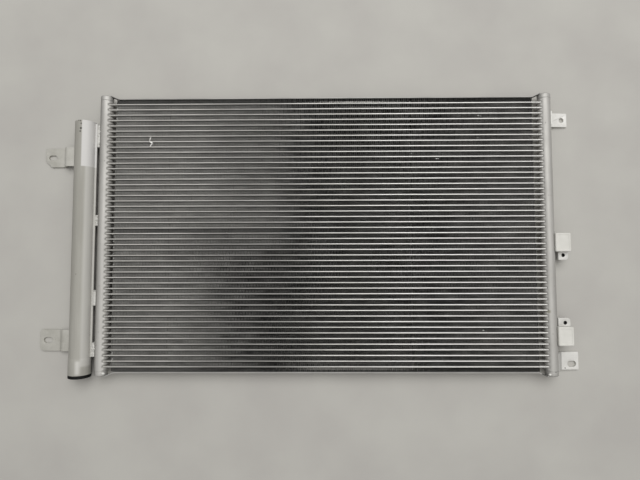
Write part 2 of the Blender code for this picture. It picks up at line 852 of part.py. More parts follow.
build_core()
build_headers()
build_receiver()
mounting_tabs()
connection_block("inlet_connection_block", inlet_port_y, -1, inlet_ear_width)
connection_block("outlet_connection_block", outlet_port_y, 1, outlet_ear_width)
port_cover("inlet_port_cover", inlet_port_y)
port_cover("outlet_port_cover", outlet_port_y)
centre_assembly()
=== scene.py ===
import math

import bmesh
import bpy
import numpy as np
from mathutils import Euler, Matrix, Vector


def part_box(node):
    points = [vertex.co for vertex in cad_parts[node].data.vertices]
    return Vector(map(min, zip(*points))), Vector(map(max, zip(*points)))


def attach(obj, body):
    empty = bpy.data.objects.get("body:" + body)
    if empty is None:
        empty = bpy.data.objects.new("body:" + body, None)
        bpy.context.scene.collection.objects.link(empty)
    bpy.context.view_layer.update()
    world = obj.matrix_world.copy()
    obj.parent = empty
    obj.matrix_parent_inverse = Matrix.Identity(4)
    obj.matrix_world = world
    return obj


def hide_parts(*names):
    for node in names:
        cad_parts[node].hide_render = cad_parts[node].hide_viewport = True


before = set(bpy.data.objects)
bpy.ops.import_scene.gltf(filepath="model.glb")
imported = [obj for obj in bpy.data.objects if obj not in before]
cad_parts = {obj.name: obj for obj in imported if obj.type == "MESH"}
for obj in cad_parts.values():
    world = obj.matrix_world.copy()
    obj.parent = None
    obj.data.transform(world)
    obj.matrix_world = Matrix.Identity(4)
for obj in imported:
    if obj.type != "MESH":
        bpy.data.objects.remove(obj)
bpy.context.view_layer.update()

scene = bpy.context.scene
mm = 0.001

# Sizes in millimetres, counted from the middle of the finned core, as in the part's source
sizes = {
    "tubeCount": 49, "condensingTubes": 39, "tubePitch": 8.0, "tubeWidth": 12.0, "tubeHeight": 1.9,
    "finnedHalf": 308.3, "tubeHalf": 320.9, "axisZ": 15.3, "headerX": 325.0, "headerRadius": 9.0,
    "headerBore": 7.7, "pipeHalf": 198.2, "capHalf": 205.8, "fitGap": 0.3, "plateY": 199.35,
    "plateThickness": 1.6, "receiverX": -356.0, "receiverRadius": 14.8, "collarRadius": 15.3,
    "receiverBottom": -203.3, "receiverTop": 166.7,
}
axisZ = sizes["axisZ"]
fitGap = sizes["fitGap"]
headerX = sizes["headerX"]
headerRadius = sizes["headerRadius"]
receiverX = sizes["receiverX"]
receiverRadius = sizes["receiverRadius"]
pitch = sizes["tubePitch"]

headerLow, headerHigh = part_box("left_header")
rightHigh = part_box("right_header")[1]
shift = np.array([(headerLow.x + rightHigh.x) / 2, (headerLow.y + headerHigh.y) / 2, 0.0]) / mm
print("frame loaded, the core's middle is at", [round(float(v), 3) for v in shift], "mm")


def tubeY(number):
    # Height of a flat tube, tube 1 at the top
    return ((sizes["tubeCount"] + 1) / 2 - number) * pitch


# Mesh helpers

def newObject(name, data):
    made = bpy.data.objects.new(name, data)
    scene.collection.objects.link(made)
    return made


def newMesh(name, bm):
    mesh = bpy.data.meshes.new(name)
    bm.to_mesh(mesh)
    bm.free()
    return mesh


def addPiece(name, mesh, recordSlot, finish, *stands):
    piece = newObject(name, mesh)
    mesh.materials.clear()
    mesh.materials.append(materials[finish])
    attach(piece, "root")
    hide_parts(*stands)
    return piece


def ringFaces(rings, columns, start=0):
    # Quads between rings of equally many points
    r = np.arange(rings - 1)[:, None] * columns + start
    c = np.arange(columns)
    after = (c + 1) % columns
    quads = np.stack([r + c, r + columns + c, r + columns + after, r + after], axis=-1)
    return quads.reshape(-1, 4).tolist()


def solidFaces(rings, columns, start=0):
    # The same with both ends closed
    first = list(range(start, start + columns))
    last = [i + (rings - 1) * columns for i in reversed(first)]
    return ringFaces(rings, columns, start) + [first, last]


def finishMesh(mesh, sharpAngle):
    mesh.validate()
    mesh.shade_smooth()
    if sharpAngle:
        mesh.set_sharp_from_angle(angle=math.radians(sharpAngle))
    return mesh


def placedMesh(name, points, faces, sharpAngle):
    # Points in millimetres from the core's middle
    mesh = bpy.data.meshes.new(name)
    placed = (np.asarray(points, float).reshape(-1, 3) + shift) * mm
    mesh.from_pydata(placed.tolist(), [], faces)
    return finishMesh(mesh, sharpAngle)


def meshFromBmesh(name, bm, sharpAngle):
    # The bmesh is in millimetres from the core's middle
    bmesh.ops.recalc_face_normals(bm, faces=bm.faces)
    for vert in bm.verts:
        vert.co = (vert.co + Vector(shift)) * mm
    return finishMesh(newMesh(name, bm), sharpAngle)


def addLoft(bm, rings, makeFaces=solidFaces):
    # Rings of equally many points, joined in order
    verts = [bm.verts.new(point) for ring in rings for point in ring]
    for face in makeFaces(len(rings), len(rings[0])):
        bm.faces.new([verts[i] for i in face])
    return bm


def loftedPiece(name, rings, recordSlot, finish, node, sharpAngle=35, makeFaces=solidFaces):
    mesh = meshFromBmesh(name, addLoft(bmesh.new(), rings, makeFaces), sharpAngle)
    return addPiece(name, mesh, recordSlot, finish, node)


def smoothStep(low, high, value):
    t = np.clip((np.asarray(value, float) - low) / (high - low), 0.0, 1.0)
    return t * t * (3 - 2 * t)


def bell(away, reach):
    return np.exp(-(away / reach) ** 2)


def softNoise(values, seed, period, octaves=4, peak=2.1):
    # Smooth waver in -1..1 along one direction, from a few sines
    rng = np.random.default_rng(seed)
    total = np.zeros_like(np.asarray(values, float))
    for octave in range(1, octaves + 1):
        turn = rng.uniform(0, 2 * math.pi)
        total += np.sin(values * 2 * math.pi * octave / period + turn) / octave
    return total / peak


def fullTurn(segments):
    return np.linspace(0, 2 * math.pi, segments, endpoint=False)


def ringAt(x, y, z):
    # Points across the part, z counted from the headers' axis
    return np.stack(np.broadcast_arrays(x, y, axisZ + z), axis=-1)


def spunRings(profile, centreX, segments):
    # Rings round a header's or the receiver's axis; profile is (radius, y)
    turns = fullTurn(segments)
    return [ringAt(centreX + radius * np.cos(turns), y, radius * np.sin(turns)) for radius, y in profile]


def arc(centre, radius, start, turn, steps):
    # Points along an arc, angles in degrees
    angles = [math.radians(start + turn * i / steps) for i in range(steps + 1)]
    return [(centre[0] + radius * math.cos(a), centre[1] + radius * math.sin(a)) for a in angles]


def roundedOutline(low, high, radii, steps=6, straight=(), least=0.05):
    # Corner radii run lower left, lower right, upper right, upper left; straight ones are cut off plainly
    corners = [(low[0], low[1], 180), (high[0], low[1], 270), (high[0], high[1], 0), (low[0], high[1], 90)]
    points = []
    for number, ((x, y, start), radius) in enumerate(zip(corners, radii)):
        radius = max(radius, least)
        cx = x + radius if x == low[0] else x - radius
        cy = y + radius if y == low[1] else y - radius
        points += arc((cx, cy), radius, start, 90, 1 if number in straight else steps)
    return points


def slotOutline(centre, length, width, steps=12):
    x, y = centre
    half = (length - width) / 2
    return arc((x + half, y), width / 2, -90, 180, steps) + arc((x - half, y), width / 2, 90, 180, steps)


def circleOutline(centre, radius, steps=48):
    return arc(centre, radius, 0, 360, steps)[:-1]


def stampedSheet(name, outlines, low, high, edge, bevelSteps=2, weld=0.002):
    # A flat punched sheet between two heights, with rounded edges, as a bmesh
    curve = bpy.data.curves.new(name + "Outline", "CURVE")
    curve.dimensions = "2D"
    curve.fill_mode = "BOTH"
    curve.extrude = (high - low) / 2 - edge
    curve.bevel_depth = edge
    curve.bevel_resolution = bevelSteps
    curve.offset = -edge
    for points in outlines:
        spline = curve.splines.new("POLY")
        spline.points.add(len(points) - 1)
        for target, (x, y) in zip(spline.points, points):
            target.co = (x, y, 0, 1)
        spline.use_cyclic_u = True
    holder = newObject(name + "Outline", curve)
    graph = bpy.context.evaluated_depsgraph_get()
    mesh = bpy.data.meshes.new_from_object(holder.evaluated_get(graph))
    bm = bmesh.new()
    bm.from_mesh(mesh)
    bmesh.ops.remove_doubles(bm, verts=bm.verts, dist=weld)
    bmesh.ops.translate(bm, verts=bm.verts, vec=(0, 0, (low + high) / 2))
    bpy.data.objects.remove(holder)
    bpy.data.curves.remove(curve)
    bpy.data.meshes.remove(mesh)
    return bm


def joinedSolid(name, solids, cutters, sharpAngle):
    # Booleans of bmeshes, done with modifiers and applied
    holders = []
    for i, bm in enumerate(solids + cutters):
        bmesh.ops.recalc_face_normals(bm, faces=bm.faces)
        holders.append(newObject(f"{name}Part{i}", newMesh(f"{name}Part{i}", bm)))
    base = holders[0]
    for i, other in enumerate(holders[1:], 1):
        change = base.modifiers.new(f"join{i}", "BOOLEAN")
        change.operation = "UNION" if i < len(solids) else "DIFFERENCE"
        change.solver = "EXACT"
        change.object = other
    graph = bpy.context.evaluated_depsgraph_get()
    result = bpy.data.meshes.new_from_object(base.evaluated_get(graph))
    for holder in holders:
        mesh = holder.data
        bpy.data.objects.remove(holder)
        bpy.data.meshes.remove(mesh)
    bm = bmesh.new()
    bm.from_mesh(result)
    bpy.data.meshes.remove(result)
    return meshFromBmesh(name, bm, sharpAngle)


# Materials

def fill(node, inputs):
    # An input gets a number, a colour or another node's output
    for key, value in inputs.items():
        socket = node.inputs[key]
        if isinstance(value, bpy.types.NodeSocket):
            node.id_data.links.new(value, socket)
        elif socket.type == "RGBA":
            socket.default_value = (*value, 1)
        else:
            socket.default_value = value


def addNode(near, kind, inputs, output, **settings):
    # A shader node in the same tree as another node or socket
    node = near.id_data.nodes.new("ShaderNode" + kind)
    for key, value in settings.items():
        setattr(node, key, value)
    fill(node, inputs)
    return node.outputs[output]


def nodeKit(name):
    material = bpy.data.materials.new(name)
    material.use_nodes = True
    shader = material.node_tree.nodes["Principled BSDF"]
    return material, shader, addNode(shader, "TexCoord", {}, "Object")


def noiseField(place, scale, detail, roughness, stretch=(1, 1, 1)):
    stretched = addNode(place, "Mapping", {"Vector": place, "Scale": stretch}, "Vector")
    settings = {"Vector": stretched, "Scale": scale, "Detail": detail, "Roughness": roughness}
    return addNode(place, "TexNoise", settings, "Fac")


def rampBetween(value, low, high, stops):
    ramp = value.id_data.nodes.new("ShaderNodeValToRGB")
    for end, stop, colour in zip(ramp.color_ramp.elements, stops, (low, high)):
        end.position = stop
        end.color = (*colour, 1)
    fill(ramp, {"Fac": value})
    return ramp.outputs["Color"]


def mixColours(factor, first, second, blend="MIX"):
    return addNode(first, "Mix", {0: factor, 6: first, 7: second}, 2, data_type="RGBA", blend_type=blend)


def mappedRange(value, low, high, toLow, toHigh, kind="LINEAR"):
    ends = {"Value": value, "From Min": low, "From Max": high, "To Min": toLow, "To Max": toHigh}
    return addNode(value, "MapRange", ends, "Result", interpolation_type=kind)


def combine(operation, first, second):
    return addNode(first, "Math", {0: first, 1: second}, "Value", operation=operation)


def axisOf(place, axis):
    return addNode(place, "SeparateXYZ", {"Vector": place}, axis)


def shaded(colour, value, ends, darkest, kind="LINEAR"):
    # Multiplies the colour by a share that runs from the darkest to 1
    return mixColours(1.0, colour, mappedRange(value, *ends, darkest, 1, kind), "MULTIPLY")


def boxMask(place, low, high, soft, amount):
    # The amount inside a box in metres, with soft sides
    mask = None
    for axis, lowEnd, highEnd in zip("XYZ", low, high):
        along = axisOf(place, axis)
        for end, outer, inner in ((lowEnd, 0, 1), (highEnd, 1, 0)):
            side = mappedRange(along, end - soft, end + soft, outer, inner, "SMOOTHSTEP")
            mask = combine("MULTIPLY", mask, side) if mask else side
    return combine("MULTIPLY", mask, amount)


def roundMask(place, x, y, radius, soft=0.06):
    # 1 inside an upright round hole, in metres
    squares = []
    for axis, middle in (("X", x), ("Y", y)):
        away = combine("SUBTRACT", axisOf(place, axis), middle)
        squares.append(combine("MULTIPLY", away, away))
    ends = [(radius * (1 - soft)) ** 2, (radius * (1 + soft)) ** 2]
    return mappedRange(combine("ADD", *squares), *ends, 1, 0, "SMOOTHSTEP")


def shadeBelowTubes(place, share, ends=(0.68, 0.83)):
    # Falls from 1 to the share towards the upper tube of each row
    fromMiddle = combine("SUBTRACT", axisOf(place, "Y"), float(shift[1]) * mm)
    part = combine("FLOORED_MODULO", combine("DIVIDE", fromMiddle, pitch * mm), 1.0)
    return mappedRange(part, *ends, 1.0, share, "SMOOTHSTEP")


# Furnace-brazed aluminium: cloudy flux film, fine grain, drawn lines, small dark pits
metalLook = {
    "dark": (0.47, 0.46, 0.43), "light": (0.62, 0.61, 0.58),
    "clouds": (45, 5, 0.6),  # scale, octaves, roughness and stretch of each noise
    "cloudStops": (0.35, 0.66), "noiseEnds": (0.3, 0.7), "grain": (1600, 3, 0.6),
    "grainAmount": 0.08, "grainRough": 0.03, "lines": (500, 2, 0.5), "lineEnds": (0.35, 0.65),
    "lineAmount": 0.06, "lineHeight": 0.6, "pits": (230, 1, 0.4), "pitEnds": (0.76, 0.79),
    "pitAmount": 0.35, "pitColour": (0.24, 0.22, 0.19),
    "rough": (0.64, 0.5),  # in the dark and in the light clouds
    "metallic": 0.35, "gloss": 0.5, "sheen": 0.0, "bump": 0.00004,
    "deep": None,  # painted shade deeper down: low and high z in metres, and the share of light at the low one
    "patches": [],  # painted light and shade, and stains: low corner, high corner and soft edge in metres, amount, colour
    "rowShade": None,
    "holes": [],  # dark spots, and painted shade inside deep holes: x, y and radius in metres
    "holeColour": (0.012, 0.012, 0.011),
}
# Moulded plastic with flow clouds and spark-eroded grain, rubber, or felt with its sheen
dullLook = {**metalLook, "cloudStops": (0.3, 0.7), "grain": None, "lines": None, "metallic": 0.0}


def surface(name, base=metalLook, **changes):
    look = {**base, **changes}
    material, shader, place = nodeKit(name)
    clouds = noiseField(place, *look["clouds"])
    colour = rampBetween(clouds, look["dark"], look["light"], look["cloudStops"])
    rough = mappedRange(clouds, *look["noiseEnds"], *look["rough"])
    height = clouds
    if look["grain"]:
        height = noiseField(place, *look["grain"])
        colour = shaded(colour, height, look["noiseEnds"], 1 - look["grainAmount"])
    if look["lines"]:
        uneven = mappedRange(height, *look["noiseEnds"], -look["grainRough"], look["grainRough"])
        rough = combine("ADD", rough, uneven)
        lines = noiseField(place, *look["lines"])
        colour = shaded(colour, lines, look["lineEnds"], 1 - look["lineAmount"])
        height = combine("ADD", combine("MULTIPLY", lines, look["lineHeight"]), height)
        pits = noiseField(place, *look["pits"])
        pitMask = mappedRange(pits, *look["pitEnds"], 0, look["pitAmount"], "SMOOTHSTEP")
        colour = mixColours(pitMask, colour, look["pitColour"])
    # Painted shade that darkens the colour lower down
    if look["deep"]:
        colour = shaded(colour, axisOf(place, "Z"), *look["deep"], "SMOOTHSTEP")
    # Boxes of painted light and shade, and stains
    for *box, tone in look["patches"]:
        colour = mixColours(boxMask(place, *box), colour, tone)
    if look["rowShade"]:
        colour = mixColours(1.0, colour, shadeBelowTubes(place, look["rowShade"]), "MULTIPLY")
    # Dark spots, and painted shade inside deep holes
    for hole in look["holes"]:
        colour = mixColours(roundMask(place, *hole), colour, look["holeColour"])
    bump = addNode(place, "Bump", {"Height": height, "Distance": look["bump"], "Strength": 1.0}, "Normal")
    fill(shader, {"Base Color": colour, "Roughness": rough, "Normal": bump, "Metallic": look["metallic"],
                  "Specular IOR Level": look["gloss"], "Sheen Weight": look["sheen"]})
    return material


materials = {
    "tubes": surface(
        "tubeAluminium", dark=(0.52, 0.51, 0.48), light=(0.66, 0.65, 0.62), rough=(0.52, 0.4), metallic=0.7,
        clouds=(30, 5, 0.6, (0.4, 2, 1)), lines=(500, 2, 0.5, (0.02, 1, 1)),
        patches=[
            # Painted shade: a duller run of the tube noses left of the middle, lower and upper
            ((-0.17, -0.25), (0.006, 0.02), 0.048, 0.66, (0.17, 0.167, 0.16)),
            ((-0.14, 0.02), (-0.01, 0.25), 0.045, 0.45, (0.17, 0.167, 0.16)),
            # Painted highlight on the tube noses of the right part
            ((0.105, -0.25), (0.42, 0.25), 0.05, 0.62, (0.84, 0.83, 0.81)),
        ]),
    "fins": surface(
        # Base colours far darker than the torn foil's: painted shade among the folds
        "finAluminium", dark=(0.12, 0.117, 0.112), light=(0.4, 0.392, 0.374), rough=(0.72, 0.6),
        metallic=0.1, gloss=0.05, clouds=(48, 5, 0.6, (0.6, 2.4, 1)), lines=(900, 2, 0.5, (0.05, 0.05, 1)),
        # Painted shade deeper down among the folds; rowShade is the painted shadow of each tube on the fins
        # below it
        lineAmount=0.2, lineHeight=2.0, deep=((0.014, 0.0207), 0.04), rowShade=0.25,
        patches=[
            # Painted light on the left part of the fins, upper and lower
            ((-0.3, -0.02), (-0.03, 0.2), 0.03, 0.5, (0.52, 0.51, 0.485)),
            ((-0.3, -0.21), (-0.13, -0.02), 0.03, 0.36, (0.5, 0.49, 0.465)),
            # Painted shade in the middle, lower and upper
            ((-0.06, -0.21), (0.12, -0.03), 0.045, 0.5, (0.07, 0.07, 0.067)),
            ((0.005, -0.03), (0.1, 0.2), 0.035, 0.35, (0.07, 0.07, 0.067)),
            # Painted light on the right part
            ((0.23, -0.21), (0.36, 0.2), 0.06, 0.2, (0.46, 0.45, 0.43)),
            # One row of fins darker along most of its length
            ((-0.29, 0.0005), (0.075, 0.007), 0.0006, 0.62, (0.1, 0.1, 0.095)),
            # Painted shade on the outermost rows, beside the side plates
            ((-0.29, -0.1995), (0.34, -0.1928), 0.0006, 0.6, (0.09, 0.09, 0.085)),
            ((-0.29, 0.193), (0.34, 0.2), 0.0006, 0.72, (0.09, 0.09, 0.085)),
        ]),
    "flakes": surface(
        "tornFoil", dark=(0.66, 0.65, 0.62), light=(0.8, 0.79, 0.76), clouds=(120, 5, 0.6), metallic=0.3),
    "plates": surface(
        "plateAluminium", dark=(0.31, 0.305, 0.29), light=(0.41, 0.4, 0.38),
        clouds=(45, 5, 0.6, (0.3, 1, 1)), lines=(500, 2, 0.5, (0.02, 1, 1)),
        # Painted shade on the bottom plate's bent end by the right header
        patches=[((0.3345, -0.208), (0.3425, -0.2005), 0.001, 0.9, (0.05, 0.05, 0.045))]),
    "headers": surface(
        "headerAluminium", dark=(0.42, 0.41, 0.387), light=(0.51, 0.5, 0.475), rough=(0.66, 0.56),
        metallic=0.6, clouds=(28, 5, 0.6, (1, 0.35, 1)), lines=(500, 2, 0.5, (1, 0.02, 1)),
        holes=[(0.3492, 0.1605, 0.0006), (0.3503, 0.0541, 0.0005), (0.3529, -0.1981, 0.0007),
               (-0.295, 0.1312, 0.0005), (-0.2966, 0.1073, 0.0005)],
        holeColour=(0.05, 0.048, 0.043),
        patches=[
            ((0.344, -0.115), (0.3482, -0.1112), 0.001, 0.6, (0.2, 0.19, 0.12)),
            # Painted shade on the left header's outer flank
            ((-0.309, -0.21, 0.012), (-0.303, 0.21, 0.03), 0.0012, 0.35, (0.14, 0.136, 0.125)),
            # Painted shade low down in the gap towards the receiver
            ((-0.32, -0.21, 0.0), (-0.302, 0.21, 0.0125), 0.0015, 0.9, (0.04, 0.04, 0.035)),
        ]),
    "receiver": surface(
        "receiverAluminium", dark=(0.33, 0.32, 0.285), light=(0.39, 0.38, 0.345), rough=(0.72, 0.62),
        metallic=0.15, clouds=(20, 5, 0.6, (1, 0.25, 1)), lines=(500, 2, 0.5, (1, 0.02, 1)),
        holes=[(-0.3307, -0.0582, 0.0006), (-0.3302, 0.1657, 0.0009), (-0.329, 0.1615, 0.001),
               (-0.3293, 0.1545, 0.0015), (-0.3302, 0.15, 0.0011), (-0.333, 0.1664, 0.0008)],
        holeColour=(0.045, 0.042, 0.037),
        patches=[
            # Painted shade low down in the gap towards the header
            ((-0.32, -0.21, 0.0), (-0.309, 0.21, 0.0125), 0.0012, 0.9, (0.04, 0.04, 0.035)),
            # Painted light on the upper flank facing the header
            ((-0.3225, -0.19, 0.0142), (-0.309, 0.172, 0.03), 0.002, 0.7, (0.5, 0.49, 0.46)),
            # Painted highlight on the collar
            ((-0.328, -0.201), (-0.3225, -0.182), 0.0025, 0.55, (0.66, 0.65, 0.62)),
            # A paler rectangle high on the tube
            ((-0.3278, 0.0988), (-0.312, 0.169), 0.0006, 0.9, (0.57, 0.56, 0.545)),
        ]),
    "brackets": surface("bracketAluminium"),
    # One and the same sheet: the left tabs' finish is painted darker (painted shade), the right tabs' paler
    # (painted light)
    "tabs": surface("tabAluminium", dark=(0.4, 0.39, 0.35), light=(0.48, 0.47, 0.43), metallic=0.2),
    "rightTabs": surface(
        "paleTabAluminium", dark=(0.64, 0.63, 0.6), light=(0.74, 0.73, 0.7), rough=(0.62, 0.5),
        metallic=0.15, holes=[(0.377, -0.1971, 0.0009)], holeColour=(0.1, 0.095, 0.085),
        # Painted shade along the lower right tab's bend beside the header
        patches=[((0.359, -0.201), (0.3722, -0.172), 0.0008, 0.7, (0.25, 0.245, 0.23))]),
    "blocks": surface(
        "blockAluminium", dark=(0.52, 0.51, 0.48), light=(0.66, 0.65, 0.62), metallic=0.25,
        # Painted shade inside the ears' threaded holes
        holes=[(0.37185, -0.0326, 0.0027), (0.37185, -0.1297, 0.0027)]),
    "cover": surface(
        "coverPlastic", dullLook, dark=(0.56, 0.55, 0.51), light=(0.64, 0.63, 0.59), rough=(0.42, 0.55),
        clouds=(60, 4, 0.55), grain=(1800, 2, 0.55), grainAmount=0.05, gloss=0.4, bump=0.00003),
    "plug": surface(
        "plugPlastic", dullLook, dark=(0.004, 0.004, 0.004), light=(0.01, 0.01, 0.01), rough=(0.6, 0.75),
        clouds=(80, 4, 0.55), grain=(1500, 2, 0.55), grainAmount=0.2, gloss=0.15),
    "strainer": surface(
        "strainerPlastic", dullLook, dark=(0.55, 0.52, 0.44), light=(0.68, 0.65, 0.57), rough=(0.4, 0.55),
        clouds=(90, 4, 0.55), grain=(1500, 2, 0.55), bump=0.00003),
    "rubber": surface(
        "sealRubber", dullLook, dark=(0.012, 0.012, 0.012), light=(0.03, 0.03, 0.03), rough=(0.6, 0.75),
        clouds=(900, 6, 0.7), bump=0.00002),
    "felt": surface(
        "desiccantFelt", dullLook, dark=(0.5, 0.47, 0.4), light=(0.72, 0.69, 0.62), rough=(0.85, 0.98),
        clouds=(1400, 6, 0.7, (1, 0.3, 1)), sheen=0.25, bump=0.00015),
}
print("materials made:", len(materials))


# Flat tubes

flatTubes = {
    "noseSteps": 6, "stations": 97,
    "waver": 0.07,  # sideways, mm
    "waverRun": 410.0, "waverSeed": 11,
    "proud": 0.05,  # front to back, mm
    "proudRun": 260.0, "proudSeed": 111,
}


def tubeStack(name, first, last, node):
    k = flatTubes
    r = sizes["tubeHeight"] / 2
    half = sizes["tubeWidth"] / 2 - r
    outline = np.array([point for end, start in ((half, 0), (-half, 180))
                        for point in arc((0, end), r, start, 180, k["noseSteps"])])
    x = np.linspace(-sizes["tubeHalf"], sizes["tubeHalf"], k["stations"])[:, None]
    points, faces = [], []
    for number in range(first, last + 1):
        side = softNoise(x, k["waverSeed"] + number, k["waverRun"]) * k["waver"]
        depth = softNoise(x, k["proudSeed"] + number, k["proudRun"]) * k["proud"]
        faces += solidFaces(len(x), len(outline), len(points) * len(x) * len(outline))
        points.append(ringAt(x, tubeY(number) + side + outline[:, 0], depth + outline[:, 1]))
    mesh = placedMesh(name, points, faces, sharpAngle=50)
    addPiece(name, mesh, "core_aluminium", "tubes", node)


tubeStack("condensingTubes", 1, sizes["condensingTubes"], "condensing_core")
tubeStack("subcoolingTubes", sizes["condensingTubes"] + 1, sizes["tubeCount"], "subcooling_core")
print("flat tubes made")


# Folded fins

foldedFins = {
    "banks": (  # first and last row; row 0 lies over tube 1, row n between tubes n and n + 1
        ("upperFins", 0, 13, "condensing_core"),
        ("middleFins", 14, 26, "condensing_core"),
        ("lowerFins", 27, 39, "condensing_core"),
        ("subcoolingFins", 40, 49, "subcooling_core"),
    ),
    "legPitch": 1.4,
    "firstLeg": 0.6,  # in pitches from the fins' end
    "foil": 0.12,
    "crestDrop": 0.45,  # how far a leg's corner stays from the crest
    "slant": 0.22,  # how far a leg slants along x between its tubes
    "slantScatter": 0.05,
    "recess": 0.75,  # how far the fins stay behind the tube noses
    "recessScatter": 0.06, "jitter": 0.07,
    "drift": 0.25,  # slow drift of the folds along x
    "driftRun": 230.0, "driftSeed": 323,
    "tilt": -0.1,  # slope of the legs front to back, towards the receiver
    "tiltScatter": 0.012, "tiltWaver": 0.045,
    "tiltWaves": ((1.0, 41, 33, 0.7), (0.7, 23, -17, 2.1), (0.6, 90, 9, 4.0)),  # size, run x, run y, start
    "tiltPeak": 2.3,
    "pressedTilt": 0.12,  # legs pressed the other way, low in the middle
    "pressedPlace": (-45.0, -150.0), "pressedReach": (70.0, 75.0),
    "crowdRun": 4.4,  # folds crowd together about every third one
    "crowdReach": 0.26,
    "nickLines": ((126.6, 1.0), (-227.8, 0.45)),  # place and strength
    "nickScatter": 0.4,
    "nickShift": 0.9,  # folds pushed aside by a nick
    "nickShiftReach": 1.3,
    "nickSink": 0.8,  # and pushed in
    "nickSinkReach": 1.6, "seed": 23,
}


def finTilt(x, y):
    # Slope of a leg front to back, changing slowly over the core
    k = foldedFins
    waver = sum(size * np.sin(x / runX + y / runY + start) for size, runX, runY, start in k["tiltWaves"])
    away = zip((x, y), k["pressedPlace"], k["pressedReach"])
    pressed = math.prod(bell(value - middle, reach) for value, middle, reach in away)
    return k["tilt"] + k["tiltWaver"] * waver / k["tiltPeak"] + k["pressedTilt"] * pressed


def finPath(middleY, height, row):
    # Middle line of one folded strip: leg corner, leg corner, crest
    k = foldedFins
    rng = np.random.default_rng(k["seed"] + row)
    step = k["legPitch"]
    count = int(2 * sizes["finnedHalf"] / step) - 1
    x = -sizes["finnedHalf"] + step * (k["firstLeg"] + np.arange(count))
    x = x + softNoise(x, k["driftSeed"] + row, k["driftRun"]) * k["drift"]
    x = x + rng.normal(0, k["jitter"], count)
    x = x + k["crowdReach"] * np.sin(2 * math.pi * x / k["crowdRun"] + rng.uniform(0, 2 * math.pi))
    push = np.zeros(count)
    for line, strength in k["nickLines"]:
        away = x - (line + rng.normal(0, k["nickScatter"]))
        x = x + strength * np.sign(away) * k["nickShift"] * bell(away, k["nickShiftReach"])
        push += strength * bell(away, k["nickSinkReach"])
    way = np.where(np.arange(count) % 2 == 0, 1.0, -1.0)
    slant = k["slant"] + rng.normal(0, k["slantScatter"], count)
    corner = way * (height / 2 - k["crestDrop"])
    crest = way * (height / 2 - k["foil"] / 2)
    crestX = np.append((x[:-1] + x[1:]) / 2, x[-1] + step / 2)
    path = [x - slant, middleY - corner, x + slant, middleY + corner, crestX, middleY + crest]
    recess = k["recess"] + push * k["nickSink"] + np.abs(rng.normal(0, k["recessScatter"], count))
    tilt = finTilt(x, middleY) + rng.normal(0, k["tiltScatter"], count)
    return np.stack(path, axis=1).reshape(-1, 2), np.repeat(recess, 3), np.repeat(tilt, 3)


def finStrip(middleY, height, row):
    path, recess, tilt = finPath(middleY, height, row)
    along = np.gradient(path, axis=0)
    along /= np.linalg.norm(along, axis=1)[:, None]
    across = np.stack([-along[:, 1], along[:, 0]], axis=1) * foldedFins["foil"] / 2
    front = sizes["tubeWidth"] / 2 - recess
    back = -sizes["tubeWidth"] / 2 + foldedFins["recess"]
    corners = []
    for side, level in ((1, front), (-1, front), (-1, back), (1, back)):
        x, y = (path + side * across).T
        corners.append(ringAt(x + tilt * level, y, level))
    return np.stack(corners, axis=1)


def finBank(name, firstRow, lastRow, node):
    height = pitch - sizes["tubeHeight"]
    strips = [finStrip(tubeY(row + 0.5), height, row) for row in range(firstRow, lastRow + 1)]
    faces = []
    for number, strip in enumerate(strips):
        faces += solidFaces(len(strip), 4, number * len(strip) * 4)
    mesh = placedMesh(name, strips, faces, sharpAngle=0)
    mesh.shade_flat()
    addPiece(name, mesh, "core_aluminium", "fins", node)


for bank in foldedFins["banks"]:
    finBank(*bank)
print("folded fins made")


# Side plates

sidePlates = {
    "bendX": 304.8, "slope": 0.452, "bendSoft": 0.9, "edge": 0.35, "edgeSteps": 3,
    "middleShare": 0.95,  # up to here the sections stand wide apart
    "middleStations": 60, "endStations": 121,
    "bendShare": 0.94,  # and from here they stand close, for the bend
    "bendStations": 24, "wave": 0.08, "waveRun": 330.0, "waveSeed": 71,
}


def sidePlate(name, node, end):
    k = sidePlates
    half = sizes["plateThickness"] / 2
    wide = sizes["tubeWidth"] / 2
    across, z = np.array(roundedOutline((-half, -wide), (half, wide), [k["edge"]] * 4, k["edgeSteps"])).T
    tipX = headerX - np.sqrt((headerRadius + fitGap) ** 2 - z ** 2)
    share = np.linspace(-1, 1, k["endStations"])
    middle = np.linspace(-k["middleShare"], k["middleShare"], k["middleStations"])
    bend = np.linspace(k["bendShare"], 1.0, k["bendStations"])
    share = np.concatenate([-bend, share[np.abs(share) > k["middleShare"]], middle, bend])
    rings = []
    for s in np.unique(np.round(share, 5)):
        x = s * tipX
        rise = k["slope"] * k["bendSoft"] * np.logaddexp(0, (np.abs(x) - k["bendX"]) / k["bendSoft"])
        wave = softNoise(x.mean(), k["waveSeed"], k["waveRun"]) * k["wave"]
        rings.append(ringAt(x, end * (sizes["plateY"] + half + rise + across) + wave, z))
    loftedPiece(name, rings, "plate_aluminium", "plates", node, sharpAngle=40)


sidePlate("topSidePlate", "top_side_plate", 1)
sidePlate("bottomSidePlate", "bottom_side_plate", -1)
print("side plates made")


# Headers with their pressed ridges

slottedHeader = {
    "ridge": {-1: 1.1, 1: 0.6},  # left and right header
    "valley": {-1: 0.9, 1: 0.6},
    "ridgeTurn": {-1: 53.0, 1: 43.0},  # degrees either side of the core's direction
    "ridgeFade": (-9.0, 6.0),
    "crestRun": (0.8, 3.3),  # from the tube's middle to the full crest
    "endRun": (3.2, 0.8),  # the ridges fade before the pipe's end
    "dimple": 0.5, "dimpleBeyond": 3.0,
    "dimpleReach": (4.0, 0.9),  # degrees round and mm along
    "perPitch": 14, "endRings": 6,
    "fineTurn": 70,  # degrees with close points, and the two steps
    "steps": (3.5, 8.0), "uneven": 0.03, "unevenRun": 160.0, "unevenTwist": 9, "unevenSeed": 5,
}


